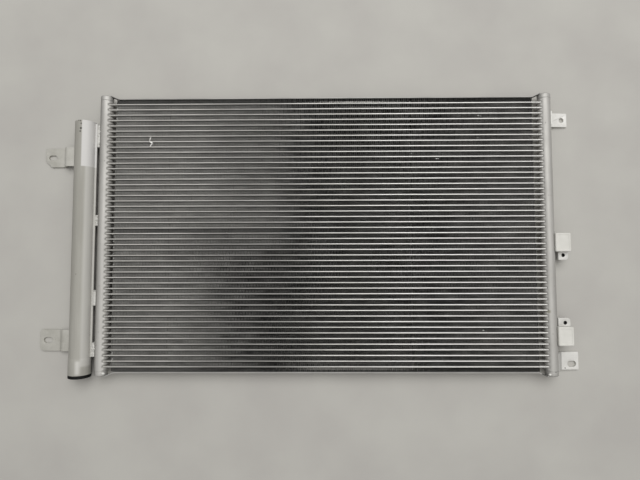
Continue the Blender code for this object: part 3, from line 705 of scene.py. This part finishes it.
def headerSurface(name, side, node):
    k = slottedHeader
    fine = k["fineTurn"]
    close, wideApart = k["steps"]
    turns = np.concatenate([np.arange(-fine, fine, close), np.arange(fine, 360 - fine, wideApart)])
    count = sizes["tubeCount"]
    slotsHalf = count * pitch / 2
    plain = np.linspace(slotsHalf, sizes["pipeHalf"], k["endRings"])[1:]
    middle = np.linspace(-slotsHalf, slotsHalf, count * k["perPitch"] + 1)
    turn, y = np.meshgrid(np.radians(turns), np.concatenate([-plain[::-1], middle, plain]))
    fromTube = np.abs((y + pitch / 2) % pitch - pitch / 2)
    wide = np.abs((turns + 180) % 360 - 180)
    ridgeTurn = k["ridgeTurn"][side]
    fade = 1 - smoothStep(ridgeTurn + k["ridgeFade"][0], ridgeTurn + k["ridgeFade"][1], wide)
    crest = smoothStep(*k["crestRun"], fromTube)
    inside = 1 - smoothStep(*(sizes["pipeHalf"] - run for run in k["endRun"]), np.abs(y))
    radius = headerRadius + inside * fade * (crest * k["ridge"][side] - (1 - crest) * k["valley"][side])
    reachTurn, reachY = k["dimpleReach"]
    spot = bell(wide - ridgeTurn - k["dimpleBeyond"], reachTurn) * bell(fromTube, reachY)
    radius -= inside * spot * k["dimple"]
    radius += softNoise(y + turn * k["unevenTwist"], k["unevenSeed"], k["unevenRun"]) * k["uneven"]
    # The ends turn in to the bore, so the pipe has a wall
    ends = ((1, 1), (0, 0))
    radius = np.pad(radius, ends, constant_values=sizes["headerBore"])
    y = np.pad(y, ends, mode="edge")
    points = ringAt(side * (headerX - radius * np.cos(turn[0])), y, radius * np.sin(turn[0]))
    faces = [face[::side] for face in ringFaces(len(y), len(turns))]
    mesh = placedMesh(name, points, faces, sharpAngle=60)
    addPiece(name, mesh, "header_aluminium", "headers", node)


headerSurface("leftHeaderPipe", -1, "left_header")
headerSurface("rightHeaderPipe", 1, "right_header")
print("headers made")


# Header end caps

endCap = {
    "spigotGap": 0.4,
    "spigot": (4.0, 0.1),  # how far it reaches into the pipe, and where it ends
    "inner": ((0.35, 0.0), (0.05, 0.3), (0.0, 0.7)),  # below the radius, beyond the pipe's end
    "outer": ((0.0, 1.6), (0.15, 1.3), (1.3, 0.25), (1.8, 0.05), (3.2, 0.0)),  # and before the cap's face
    "middle": 1.0, "segments": 72,
}


def headerCap(name, side, end, node):
    k = endCap
    start = sizes["pipeHalf"] + fitGap
    stop = sizes["capHalf"]
    profile = [(sizes["headerBore"] - k["spigotGap"], start - back) for back in k["spigot"]]
    profile += [(headerRadius - drop, start + beyond) for drop, beyond in k["inner"]]
    profile += [(headerRadius - drop, stop - before) for drop, before in k["outer"]]
    profile.append((k["middle"], stop))
    rings = spunRings([(radius, end * y) for radius, y in profile], side * headerX, k["segments"])
    loftedPiece(name, rings, "header_aluminium", "headers", node)


for sideName, side in (("left", -1), ("right", 1)):
    for endName, end in (("top", 1), ("bottom", -1)):
        headerCap(f"{sideName}{endName.title()}Cap", side, end, f"{sideName}_header_{endName}_cap")
print("end caps made")


# Receiver tube

receiverTube = {
    "segments": 120, "rings": 60, "wall": 1.8,
    "lining": 30,  # how far the bore is drawn in at each end
    "foot": ((0.4, 0.0), (0.1, 0.15), (0.0, 0.5)),  # below the collar's radius, above the end
    "collarLength": 22.5, "collarEnd": ((0.0, -0.3), (0.06, 0.0)), "taper": (0.02, 1.5),
    "body": (2.2, 1.6),  # beyond the collar's end, below the top
    "top": ((0.1, 0.5), (0.45, 0.1), (1.0, 0.0)),  # below the radius, below the top
    "wobble": ((0.02, 2, 0.02), (0.015, 3, -0.05)),  # size, turns, twist along y
}


def receiverSurface():
    k = receiverTube
    low = sizes["receiverBottom"]
    high = sizes["receiverTop"]
    collar = sizes["collarRadius"]
    r = receiverRadius
    bore = r - k["wall"]
    collarEnd = low + k["collarLength"]
    profile = [(bore, low + k["lining"]), (bore, low)]
    profile += [(collar - drop, low + up) for drop, up in k["foot"]]
    profile += [(collar - drop, collarEnd + up) for drop, up in k["collarEnd"]]
    profile.append((r + k["taper"][0], collarEnd + k["taper"][1]))
    profile += [(r, y) for y in np.linspace(collarEnd + k["body"][0], high - k["body"][1], k["rings"])]
    profile += [(r - drop, high - down) for drop, down in k["top"]]
    profile += [(bore, high), (bore, high - k["lining"])]
    turns = fullTurn(k["segments"])
    uneven = []
    for radius, y in profile:
        wobble = sum(size * np.sin(waves * turns + y * twist) for size, waves, twist in k["wobble"])
        uneven.append((radius + wobble, y))
    rings = spunRings(uneven, receiverX, k["segments"])
    loftedPiece("receiverTube", rings, "receiver_aluminium", "receiver", "receiver_body", makeFaces=ringFaces)


receiverRib = {
    "rooted": 1.2,  # how far it starts inside the tube's radius
    "reach": 2.6,
    "half": 1.25,  # half of its thickness
    "round": 0.5, "low": -179.0, "high": 164.5, "rings": 180,
    "waves": ((0.05, 19, 0), (0.04, 7.3, 1)),  # size, run, start
}


def receiverRibPiece():
    # Narrow rib on the receiver's side that faces the header
    k = receiverRib
    start = receiverX + receiverRadius - k["rooted"]
    tip = receiverX + receiverRadius + k["reach"]
    outline = roundedOutline((start, -k["half"]), (tip, k["half"]), [0, k["round"], k["round"], 0], steps=4)
    x, z = np.array(outline).T
    rings = []
    for y in np.linspace(k["low"], k["high"], k["rings"]):
        wave = sum(size * math.sin(y / run + turn) for size, run, turn in k["waves"])
        rings.append(ringAt(x + wave * (x > start + 1), y, z))
    loftedPiece("receiverRib", rings, "receiver_aluminium", "receiver", "receiver_body")


receiverSurface()
receiverRibPiece()
print("receiver made")


# Tabs: a flat blank is punched, then bent along a path

tabSettings = {
    "thickness": 3.0, "edge": 0.35, "bendRadius": 3.0,
    "cuts": (0.4, 1.2),  # the first cut across the blank and the step to the next
    "flatEnd": 25,  # length at the tip that stays uncut
    "lip": 0.6,  # height at which the left tabs start on the receiver
    "leftRun": (32.5, 36.0, 67.5),  # bends and tip, from the receiver's axis
    "leftSteps": 8, "rightTurn": -45, "rightSteps": 6,
}


def roundedPath(corners, radius, steps=5, most=0.45):
    # Corners of a polyline made round, over at most this share of a side
    corners = [Vector(c) for c in corners]
    path = [corners[0]]
    for before, corner, after in zip(corners, corners[1:], corners[2:]):
        a = before - corner
        b = after - corner
        reach = min(radius, a.length * most, b.length * most)
        start = corner + a.normalized() * reach
        stop = corner + b.normalized() * reach
        for i in range(steps + 1):
            t = i / steps
            path.append(start * (1 - t) ** 2 + corner * 2 * t * (1 - t) + stop * t ** 2)
    path.append(corners[-1])
    return np.array([list(p) for p in path])


def tabPath(centreX, radius, start, turn, steps, corners):
    # Round the pipe and then out to the tip, in x and z
    wrap = arc((centreX, axisZ), radius, start, turn, steps)
    bent = roundedPath([wrap[-1]] + [(centreX + x, z) for x, z in corners], tabSettings["bendRadius"])
    return np.concatenate([np.array(wrap[:-1]), bent])


def leftTabPath(innerHeight):
    k = tabSettings
    flat = k["thickness"] / 2
    radius = receiverRadius + fitGap + flat
    lowTurn = math.degrees(math.asin((axisZ - k["lip"]) / (radius + flat)))
    highTurn = math.degrees(math.asin((axisZ - innerHeight) / radius))
    corners = [(-x, z) for x, z in zip(k["leftRun"], (innerHeight, flat, flat))]
    return tabPath(receiverX, radius, 180 + lowTurn, highTurn - lowTurn, k["leftSteps"], corners)


def rightTabPath(flatStart, reach):
    k = tabSettings
    flat = k["thickness"] / 2
    radius = headerRadius + fitGap + flat
    return tabPath(headerX, radius, 0, k["rightTurn"], k["rightSteps"], [(flatStart, flat), (reach, flat)])


tabs = {  # node, finish, path, width, middle, opening, its place from the tip and the middle, corners
    "upperLeftTab": ("upper_left_mounting_tab", "tabs", leftTabPath(10.3), 28.9, 116.7,
                     (12.8, 7.4), (11.3, 0), (0.6, 9.8, 1.2, 0.6), (1,)),
    "lowerLeftTab": ("lower_left_mounting_tab", "tabs", leftTabPath(5.8), 31.5, -157.0,
                     (13.2, 8.4), (12.3, 0), (0.6, 7.5, 4.5, 0.6)),
    "upperRightTab": ("upper_right_mounting_tab", "rightTabs", rightTabPath(20.0, 39.9), 20.8, 170.3,
                      (7.2, 7.2), (8.0, 0), (0.6, 1.2, 1.2, 0.6)),
    "lowerRightTab": ("lower_right_mounting_tab", "rightTabs", rightTabPath(22.8, 45.6), 25.6, -187.2,
                      (12.7, 8.8), (9.9, -4.5), (0.6, 1.2, 1.2, 0.6)),
}


def bentTab(name, node, finish, path, width, middleY, opening, place, corners, straight=()):
    runs = np.concatenate([[0], np.cumsum(np.linalg.norm(np.diff(path, axis=0), axis=1))])
    total = runs[-1]
    half = width / 2
    thick = tabSettings["thickness"] / 2
    blank = roundedOutline((0, -half), (total, half), corners, straight=straight)
    hole = slotOutline((total - place[0], place[1]), *opening)
    bm = stampedSheet(name, [blank, hole], -thick, thick, tabSettings["edge"])
    first, step = tabSettings["cuts"]
    for cut in np.arange(first, total - tabSettings["flatEnd"], step):
        geometry = bm.verts[:] + bm.edges[:] + bm.faces[:]
        bmesh.ops.bisect_plane(bm, geom=geometry, plane_co=(cut, 0, 0), plane_no=(1, 0, 0))
    tangents = np.gradient(path, runs, axis=0)
    tangents /= np.linalg.norm(tangents, axis=1)[:, None]
    turned = 1 if path[-1][0] > path[0][0] else -1
    for vert in bm.verts:
        px, pz, tx, tz = (np.interp(vert.co.x, runs, line) for line in (*path.T, *tangents.T))
        rise = turned * vert.co.z / math.hypot(tx, tz)
        vert.co = (px - tz * rise, middleY + vert.co.y, pz + tx * rise)
    mesh = meshFromBmesh(name, bm, sharpAngle=30)
    addPiece(name, mesh, "tab_aluminium", finish, node)


for tabName, settings in tabs.items():
    bentTab(tabName, *settings)
print("mounting tabs made")


# Brackets and passage blocks between the receiver and the left header

saddleBlocks = {
    "pieces": {  # node, middle, length, height; each mark: x, y, reach along both, lift
        "upperBracket": ("receiver_upper_bracket", 145.2, 33.0, 6.4, (
            (-336.6, 144.6, 0.9, 1.0, -1.3), (-334.6, 133.4, 1.0, 1.0, 0.7),
            (-334.4, 154.0, 1.3, 1.0, -0.9), (-334.3, 148.6, 1.3, 0.9, -0.9),
            (-335.0, 158.5, 1.4, 2.0, 0.5))),
        "middleBracket": ("receiver_middle_bracket", 19.7, 16.0, 6.4, (
            (-334.6, 23.9, 2.4, 0.8, -1.2), (-335.4, 18.9, 2.6, 0.9, -1.3), (-338.6, 16.0, 1.2, 2.4, -1.0),
            (-335.2, 15.2, 0.8, 3.0, 0.8))),
        "receiverInlet": ("receiver_inlet_block", -93.5, 22.8, 9.4, (
            (-336.4, -84.9, 0.7, 0.8, -0.7), (-334.2, -84.9, 0.7, 0.8, -0.7),
            (-334.6, -103.3, 1.0, 1.0, 0.9), (-335.0, -82.6, 2.5, 0.8, 0.5))),
        "receiverOutlet": ("receiver_outlet_block", -168.0, 20.2, 9.4, (
            (-336.0, -165.0, 0.9, 0.9, -1.1), (-335.3, -167.4, 1.1, 1.0, 1.0),
            (-336.8, -171.2, 0.8, 2.0, -1.1), (-333.9, -171.0, 0.7, 1.8, -1.0),
            (-335.0, -173.6, 0.9, 3.4, 0.6), (-333.8, -160.3, 0.8, 1.1, -0.9))),
    },
    "edge": 0.7, "step": 0.5, "topPoints": 17, "sidePoints": 7,
    "ledgeDrop": 0.3,  # the ledge stays below the rib's face
    "ledgeEnd": -0.1,  # from the rib's tip
    "shoulder": ((0.5, -0.6), (0.9, 0.0)),  # the same, and below the top
    "crown": 0.45, "crownLean": 1.4, "roughness": 0.1, "roughRun": 31.0, "roughPull": (3, 7),
    "roughSeed": 17,
}


def saddlePiece(name, node, middleY, length, height, marks):
    # Sections between the two round pipes; a mark lifts or sinks the top round a place
    k = saddleBlocks
    half = height / 2
    toReceiver = receiverRadius + fitGap
    toHeader = headerRadius + fitGap
    side = np.linspace(-1, 1, k["sidePoints"])
    leftTurn = side * math.asin(half / toReceiver)
    rightTurn = side[::-1] * math.asin(half / toHeader)
    ledge = receiverRib["half"] - k["ledgeDrop"]
    left = np.stack([receiverX + toReceiver * np.cos(leftTurn), toReceiver * np.sin(leftTurn)], axis=1)
    left[:, 1] = np.minimum(left[:, 1], ledge)
    stepX = receiverX + receiverRadius + receiverRib["reach"]
    shoulder = [[stepX + x, half + drop] for x, drop in k["shoulder"]]
    left = np.concatenate([left, [[stepX + k["ledgeEnd"], ledge]], shoulder])
    right = np.stack([-headerX - toHeader * np.cos(rightTurn), toHeader * np.sin(rightTurn)], axis=1)
    share = np.linspace(0, 1, k["topPoints"] + 2)[1:-1]
    topX = left[-1, 0] + (right[0, 0] - left[-1, 0]) * share
    crown = k["crown"] * np.sin(math.pi * share ** k["crownLean"])
    edge = k["edge"]
    rings = []
    for y in middleY + np.linspace(-length / 2, length / 2, int(length / k["step"])):
        inside = max(0.0, min(edge, length / 2 - abs(y - middleY)))
        shrink = edge - math.sqrt(edge ** 2 - (edge - inside) ** 2)
        along = topX * k["roughPull"][0] + y * k["roughPull"][1]
        topZ = half + crown + softNoise(along, k["roughSeed"], k["roughRun"]) * k["roughness"]
        for markX, markY, reachX, reachY, lift in marks:
            topZ = topZ + lift * bell(topX - markX, reachX) * bell(y - markY, reachY)
        x, z = np.concatenate([left, np.stack([topX, topZ], axis=1), right]).T
        rings.append(ringAt(x, y, z * (1 - shrink / half)))
    loftedPiece(name, rings, "bracket_aluminium", "brackets", node, sharpAngle=50)


for pieceName, settings in saddleBlocks["pieces"].items():
    saddlePiece(pieceName, *settings)


# Beads of weld on the brackets' seams, and at the lower ends of the headers

weldBeads = {
    "groups": {  # record slot, finish, node, radius, places
        "weldBeads": ("bracket_aluminium", "brackets", "receiver_upper_bracket", 1.35,
                      ((-331.4, 151.5, 21.2), (-332.1, 21.2, 20.4), (-332.0, -166.5, 21.0))),
        "leftCapBead": ("header_aluminium", "flakes", "left_header_bottom_cap", 2.1,
                        ((-318.4, -201.2, 21.9),)),
        "rightCapBead": ("header_aluminium", "flakes", "right_header_bottom_cap", 2.1,
                         ((318.9, -202.4, 22.0),)),
    },
    "long": (1.15, 0.85, 0.8), "uneven": 0.12,
    "lumps": (3, 2.5),  # waves per mm along x and y
    "roundness": 3, "seed": 5,
}


def weldBeadPieces(name, recordSlot, finish, node, radius, places):
    k = weldBeads
    rng = np.random.default_rng(k["seed"])
    bm = bmesh.new()
    for place in places:
        made = bmesh.ops.create_icosphere(bm, subdivisions=k["roundness"], radius=radius)["verts"]
        turn = rng.uniform(0, 2 * math.pi, 3)
        for vert in made:
            x, y = vert.co.xy
            lump = math.sin(k["lumps"][0] * x + turn[0]) * math.cos(k["lumps"][1] * y + turn[1])
            size = 1 + k["uneven"] * lump
            vert.co = Vector(c * stretch for c, stretch in zip(vert.co, k["long"])) * size + Vector(place)
    addPiece(name, meshFromBmesh(name, bm, sharpAngle=0), recordSlot, finish, node)


for groupName, settings in weldBeads["groups"].items():
    weldBeadPieces(groupName, *settings)
print("brackets made")


# Screwed plug with its hexagon socket

screwedPlug = {
    "flange": 4.2, "depth": 16.0, "grooveDepth": 1.4, "grooveWidth": 2.6, "grooves": (0.36, 0.7),
    "dish": ((9.5, 0.5), (10.0, 0.0)),  # radius and depth of the sunk middle
    "flats": 10.0, "socketDepth": 6.0, "socketOver": 2.0, "edge": 0.7, "edgeShare": 0.3,
    "upperEdge": (0.2, 0.3), "tipEdge": 0.5, "segments": 96,
}


def plugPiece():
    k = screwedPlug
    top = sizes["receiverBottom"] - fitGap
    low = top - k["flange"]
    rim = sizes["collarRadius"]
    edge = k["edge"]
    part = k["edgeShare"] * edge
    spigot = receiverRadius - receiverTube["wall"] - fitGap
    groove = spigot - k["grooveDepth"]
    profile = [(radius, low + sunk) for radius, sunk in k["dish"]]
    profile += [(rim - edge, low), (rim - part, low + part), (rim, low + edge)]
    profile += [(rim, top - k["upperEdge"][1]), (rim - k["upperEdge"][0], top), (spigot, top)]
    for share in k["grooves"]:
        middle = sizes["receiverBottom"] + share * k["depth"]
        below = middle - k["grooveWidth"] / 2
        above = middle + k["grooveWidth"] / 2
        profile += [(spigot, below), (groove, below), (groove, above), (spigot, above)]
    tip = top + k["depth"]
    profile += [(spigot, tip - k["tipEdge"]), (spigot - k["tipEdge"], tip)]
    hexagon = circleOutline((receiverX, axisZ), k["flats"] / math.sqrt(3), steps=6)
    socket = [[(x, y, z) for x, z in hexagon] for y in (low - k["socketOver"], low + k["socketDepth"])]
    body = addLoft(bmesh.new(), spunRings(profile, receiverX, k["segments"]))
    mesh = joinedSolid("screwedPlug", [body], [addLoft(bmesh.new(), socket)], sharpAngle=35)
    addPiece("screwedPlug", mesh, "plug_plastic", "plug", "receiver_plug")


plugPiece()
print("plug made")


# Felt bag of drying beads

feltBag = {
    "length": 175.0, "radius": 10.9, "aboveStrainer": 46.0,
    "seam": 13.0,  # run over which an end is pinched flat
    "seamHalf": 0.5, "wrinkle": 0.3, "wrinkleRest": 1.2,
    "pinchFolds": (11, 0.13),  # folds round, twist along
    "longFolds": (0.5, 5, -0.21),  # size, folds round, twist along
    "lumps": (0.4, 3, 0.9), "segments": 72, "rings": 150,
}


def feltBagPiece():
    k = feltBag
    start = sizes["receiverBottom"] + screwedPlug["depth"] + k["aboveStrainer"] + fitGap
    turns = fullTurn(k["segments"])
    rings = []
    for along in np.linspace(0, 1, k["rings"]) * k["length"]:
        full = float(smoothStep(-1.0, k["seam"], min(along, k["length"] - along)))
        halfHigh = k["seamHalf"] + (k["radius"] - k["seamHalf"]) * full
        fold = np.sin(k["pinchFolds"][0] * turns + k["pinchFolds"][1] * along) * (1 - full)
        longFold, lump = (size * np.sin(waves * turns + twist * along)
                          for size, waves, twist in (k["longFolds"], k["lumps"]))
        uneven = k["wrinkleRest"] + fold + longFold + lump * full
        reach = 1 - k["wrinkle"] / k["radius"] * uneven
        x = receiverX + k["radius"] * reach * np.cos(turns)
        rings.append(ringAt(x, start + along, halfHigh * reach * np.sin(turns)))
    bag = loftedPiece("feltBag", rings, "desiccant_felt", "felt", "desiccant_bag", sharpAngle=60)


feltBagPiece()
print("felt bag made")


# Connection blocks and their port covers

connectionBlocks = {
    "pieces": (("inlet", -14.6, -1, 14.5), ("outlet", -148.5, 1, 17.5)),  # port's y, ear's side and width
    "overlap": 3.0, "width": 22.0, "length": 27.0, "base": 1.5, "top": 22.0, "edge": 0.7,
    "corner": 1.0, "earLength": 11.9, "earDrop": 4.5, "earThickness": 8.5, "earEdge": 0.5,
    "earCorner": 4.5, "earSmallCorner": 0.6, "earHole": 5.0, "holeFromBody": 4.9,
    "holeFromOutside": 7.6, "bore": 14.8, "boreFloor": 6.0, "boreOver": 5, "join": 3.0,
    "saddleSegments": 96,
}
blockInnerX = headerX + headerRadius - connectionBlocks["overlap"]
blockOuterX = blockInnerX + connectionBlocks["width"]
portX = (blockInnerX + blockOuterX) / 2


def connectionBlock(name, node, portY, earEnd, earWidth):
    k = connectionBlocks
    half = k["length"] / 2
    outline = roundedOutline((blockInnerX, portY - half), (blockOuterX, portY + half), [k["corner"]] * 4)
    body = stampedSheet(name, [outline], k["base"], k["top"], k["edge"])
    edgeY = portY + earEnd * half
    earLow, earHigh = sorted((edgeY - earEnd * k["join"], edgeY + earEnd * k["earLength"]))
    corners = [k["earSmallCorner"]] * 4
    corners[1 if earEnd < 0 else 2] = k["earCorner"]
    holeCentre = (blockOuterX - k["holeFromOutside"], edgeY + earEnd * k["holeFromBody"])
    hole = circleOutline(holeCentre, k["earHole"] / 2)
    earTop = k["top"] - k["earDrop"]
    outline = roundedOutline((blockOuterX - earWidth, earLow), (blockOuterX, earHigh), corners, steps=10)
    ear = stampedSheet(name + "Ear", [outline, hole], earTop - k["earThickness"], earTop, k["earEdge"])
    saddle = [(headerRadius + fitGap, portY + end * k["length"]) for end in (-1, 1)]
    saddle = addLoft(bmesh.new(), spunRings(saddle, headerX, k["saddleSegments"]))
    port = circleOutline((portX, portY), k["bore"] / 2)
    levels = (k["base"] + k["boreFloor"], k["top"] + k["boreOver"])
    bore = addLoft(bmesh.new(), [[(x, y, z) for x, y in port] for z in levels])
    mesh = joinedSolid(name, [body, ear], [saddle, bore], sharpAngle=30)
    addPiece(name, mesh, "block_aluminium", "blocks", node)


portCovers = {
    "thickness": 3.7, "corner": 1.8,
    "cornerFall": 0.5,  # how fast the corner gets tighter towards the middle
    "cornerLeast": 0.3,
    "foot": ((0.15, 0.0), (0.0, 0.2)),  # inset and height over the block
    "round": 1.4, "roundSteps": 6,
    "rim": 2.9,  # width of the raised rim
    "sink": 0.4,  # depth of the face inside the rim
    "rimEdge": ((-0.3, 0.0), (0.0, 0.08)),  # beyond the rim's width, below the top
    "face": (0.35, 3.0),  # beyond the rim's width
    "spigot": 9.0, "spigotEdge": (0.6, 0.8),
    "spigotRoot": (0.1, 0.6),  # where the outer and the inner wall start, above and below the foot
    "spigotSegments": 64, "wall": 1.6,
}


def coverRing(portY, inset, z):
    k = portCovers
    halfX = connectionBlocks["width"] / 2 - inset
    halfY = connectionBlocks["length"] / 2 - inset
    corner = max(k["corner"] - inset * k["cornerFall"], k["cornerLeast"])
    outline = roundedOutline((portX - halfX, portY - halfY), (portX + halfX, portY + halfY), [corner] * 4)
    return [(x, y, z) for x, y in outline]


def portCover(name, node, portY):
    k = portCovers
    base = connectionBlocks["top"] + fitGap
    top = base + k["thickness"]
    r = k["round"]
    steps = [(inset, base + up) for inset, up in k["foot"]] + [(0.0, top - r)]
    steps += arc((r, top - r), r, 180, -90, k["roundSteps"])[1:]
    steps += [(k["rim"] + beyond, top - down) for beyond, down in k["rimEdge"]]
    steps += [(k["rim"] + beyond, top - k["sink"]) for beyond in k["face"]]
    rings = [coverRing(portY, inset, z) for inset, z in steps]
    loftedPiece(name, rings, "cover_plastic", "cover", node, sharpAngle=30)
    outer = connectionBlocks["bore"] / 2 - fitGap
    inner = outer - k["wall"]
    tip = base - k["spigot"]
    root = base + k["spigotRoot"][0]
    x, y = np.array(circleOutline((0, 0), 1, k["spigotSegments"])).T
    inset, up = k["spigotEdge"]
    walls = ((inner, root), (outer, root), (outer, tip + up), (outer - inset, tip), (inner, tip),
             (inner, base - k["spigotRoot"][1]))
    rings = [ringAt(portX + reach * x, portY + reach * y, z - axisZ) for reach, z in walls]
    loftedPiece(name + "Spigot", rings, "cover_plastic", "cover", node, sharpAngle=30)


for title, portY, earEnd, earWidth in connectionBlocks["pieces"]:
    connectionBlock(title + "Block", title + "_connection_block", portY, earEnd, earWidth)
    portCover(title + "Cover", title + "_port_cover", portY)
print("connection blocks and covers made")


# Bent and rubbed fins, and flakes

bentFins = {
    "scratch": ((-257.2, 139.9, 5.6, 70), (-256.0, 135.0, 5.6, -39), (-256.0, 130.4, 6.6, 52)),
    "scratchWidth": 1.8, "scratchLift": 1.3,
    "bits": (  # x, y, length, turn in degrees
        (126.9, 116.4, 1.6, 85), (163.8, 108.6, 2.6, 8), (166.4, 108.5, 1.4, -12), (226.0, 172.4, 2.0, 5),
        (229.5, 171.6, 1.4, -20), (224.5, 139.5, 1.8, 15), (226.5, -140.5, 2.0, 0),
        (-307.0, 185.5, 2.4, 80), (-306.9, 170.4, 2.2, 84), (-308.2, -11.5, 1.7, 85),
        (-307.9, -20.2, 1.8, 70), (-308.6, -29.7, 1.9, 60), (-307.8, -36.3, 1.9, 80),
        (-307.6, -45.0, 1.7, 80), (-306.5, -173.0, 3.0, 65), (-306.3, -181.6, 3.0, 65),
    ),
    "bitWidth": 0.9, "bitLift": 0.6, "foil": 0.12, "sections": 6,
    "curl": 0.25,  # sideways sway along the bit
    "curlRun": 6, "liftWave": (0.6, 0.5, 3), "liftScatter": 0.05, "taper": 1.2,
    "lean": (-0.15, 0.25),  # lift of the two edges
    "seed": 8,
}


def bentFinPieces(name, places, width, lift):
    # Torn bits of foil that stand up between the tubes and catch the light
    k = bentFins
    rng = np.random.default_rng(k["seed"])
    bm = bmesh.new()
    front = axisZ + sizes["tubeWidth"] / 2 - foldedFins["recess"]
    for x, y, length, turn in places:
        a = math.radians(turn)
        way = Vector((math.cos(a), math.sin(a), 0))
        side = Vector((-way.y, way.x, 0))
        rows = []
        for share in np.linspace(-0.5, 0.5, k["sections"]):
            sway = side * k["curl"] * math.sin(k["curlRun"] * share)
            middle = Vector((x, y, front)) + way * share * length + sway
            rest, swell, run = k["liftWave"]
            rise = lift * (rest + swell * math.cos(run * share)) + rng.normal(0, k["liftScatter"])
            half = side * width * (1 - k["taper"] * share ** 2) / 2
            low, high = (rise + lean for lean in k["lean"])
            corners = ((half, low), (-half, high), (-half, high - k["foil"]), (half, low - k["foil"]))
            rows.append([middle + edge + Vector((0, 0, z)) for edge, z in corners])
        addLoft(bm, rows)
    mesh = meshFromBmesh(name, bm, sharpAngle=40)
    addPiece(name, mesh, "core_aluminium", "flakes", "condensing_core")


bentFinPieces("scratchedFins", bentFins["scratch"], bentFins["scratchWidth"], bentFins["scratchLift"])
bentFinPieces("bentFins", bentFins["bits"], bentFins["bitWidth"], bentFins["bitLift"])
print("bent fins made")


# Plain finishes for the CAD nodes that stay as they are

keptNodes = {
    "left_header_baffle": "headers", "right_header_baffle": "headers",
    "receiver_top_plate": "receiver", "receiver_plug_outer_seal": "rubber",
    "receiver_plug_inner_seal": "rubber", "receiver_filter": "strainer",
}
for nodeName, finishName in keptNodes.items():
    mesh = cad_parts[nodeName].data
    mesh.materials.clear()
    mesh.materials.append(materials[finishName])
print("kept nodes finished:", len(keptNodes))


# Floor, light and camera

floorSettings = {
    "half": 3.0, "cells": 8, "dark": (0.405, 0.392, 0.368), "light": (0.44, 0.43, 0.4),
    "clouds": (9, 4, 0.5),  # scale, octaves, roughness
    "cloudStops": (0.35, 0.65), "grain": (700, 2, 0.5), "grainEnds": (0.3, 0.7),
    "grainDarkest": 0.97, "rough": 0.8, "gloss": 0.2,
}


def studioFloor():
    k = floorSettings
    material, shader, place = nodeKit("paleFloor")
    clouds = noiseField(place, *k["clouds"])
    colour = rampBetween(clouds, k["dark"], k["light"], k["cloudStops"])
    colour = shaded(colour, noiseField(place, *k["grain"]), k["grainEnds"], k["grainDarkest"])
    fill(shader, {"Base Color": colour, "Roughness": k["rough"], "Specular IOR Level": k["gloss"]})
    bm = bmesh.new()
    bmesh.ops.create_grid(bm, x_segments=k["cells"], y_segments=k["cells"], size=k["half"])
    floor = newObject("studioFloor", newMesh("studioFloor", bm))
    floor.data.materials.append(material)


lights = {
    "worldLow": 0.02,  # strength square to the brightest part
    "worldHigh": 0.9,  # strength in the brightest part
    "worldAim": (0.16, 0.08, 0.984), "worldColour": (1.0, 0.99, 0.97),
    "backdrop": 0.42,  # how pale the room looks behind the floor's edge
    "keyPlace": (0.28, 1.05, 2.3), "keyAim": (0.05, 0.0, 0.0), "keySize": 2.4, "keyPower": 44.0,
}


def studioLight():
    k = lights
    world = bpy.data.worlds.new("softRoom")
    world.use_nodes = True
    background = world.node_tree.nodes["Background"]
    direction = addNode(background, "TexCoord", {}, "Generated")
    aims = {0: direction, 1: k["worldAim"]}
    near = addNode(direction, "VectorMath", aims, "Value", operation="DOT_PRODUCT")
    strength = mappedRange(near, 0.0, 1.0, k["worldLow"], k["worldHigh"])
    seen = addNode(near, "LightPath", {}, "Is Camera Ray")
    strength = combine("MAXIMUM", strength, combine("MULTIPLY", seen, k["backdrop"]))
    fill(background, {"Color": k["worldColour"], "Strength": strength})
    scene.world = world
    lamp = bpy.data.lights.new("keyLight", "AREA")
    lamp.shape = "DISK"
    lamp.size = k["keySize"]
    lamp.energy = k["keyPower"]
    key = newObject("keyLight", lamp)
    key.location = k["keyPlace"]
    aim = Vector(k["keyAim"]) - Vector(k["keyPlace"])
    key.rotation_euler = aim.to_track_quat("-Z", "Y").to_euler()


view = {
    "place": (0.02595, -0.04454, 0.64755), "turn": (0.0542407, 0.0104006, -0.0022173), "lens": 24.3,
    "sensor": 36.0, "shiftY": 0.5 / 640, "nearest": 0.01,
}


def photographCamera():
    data = bpy.data.cameras.new("photographView")
    data.lens = view["lens"]
    data.sensor_width = view["sensor"]
    data.sensor_fit = "HORIZONTAL"
    data.shift_y = view["shiftY"]
    data.clip_start = view["nearest"]
    camera = newObject("photographView", data)
    camera.location = view["place"]
    camera.rotation_euler = Euler(view["turn"], "XYZ")
    scene.camera = camera


studioFloor()
studioLight()
photographCamera()
scene.view_settings.view_transform = "Standard"
print("floor, light and camera set")
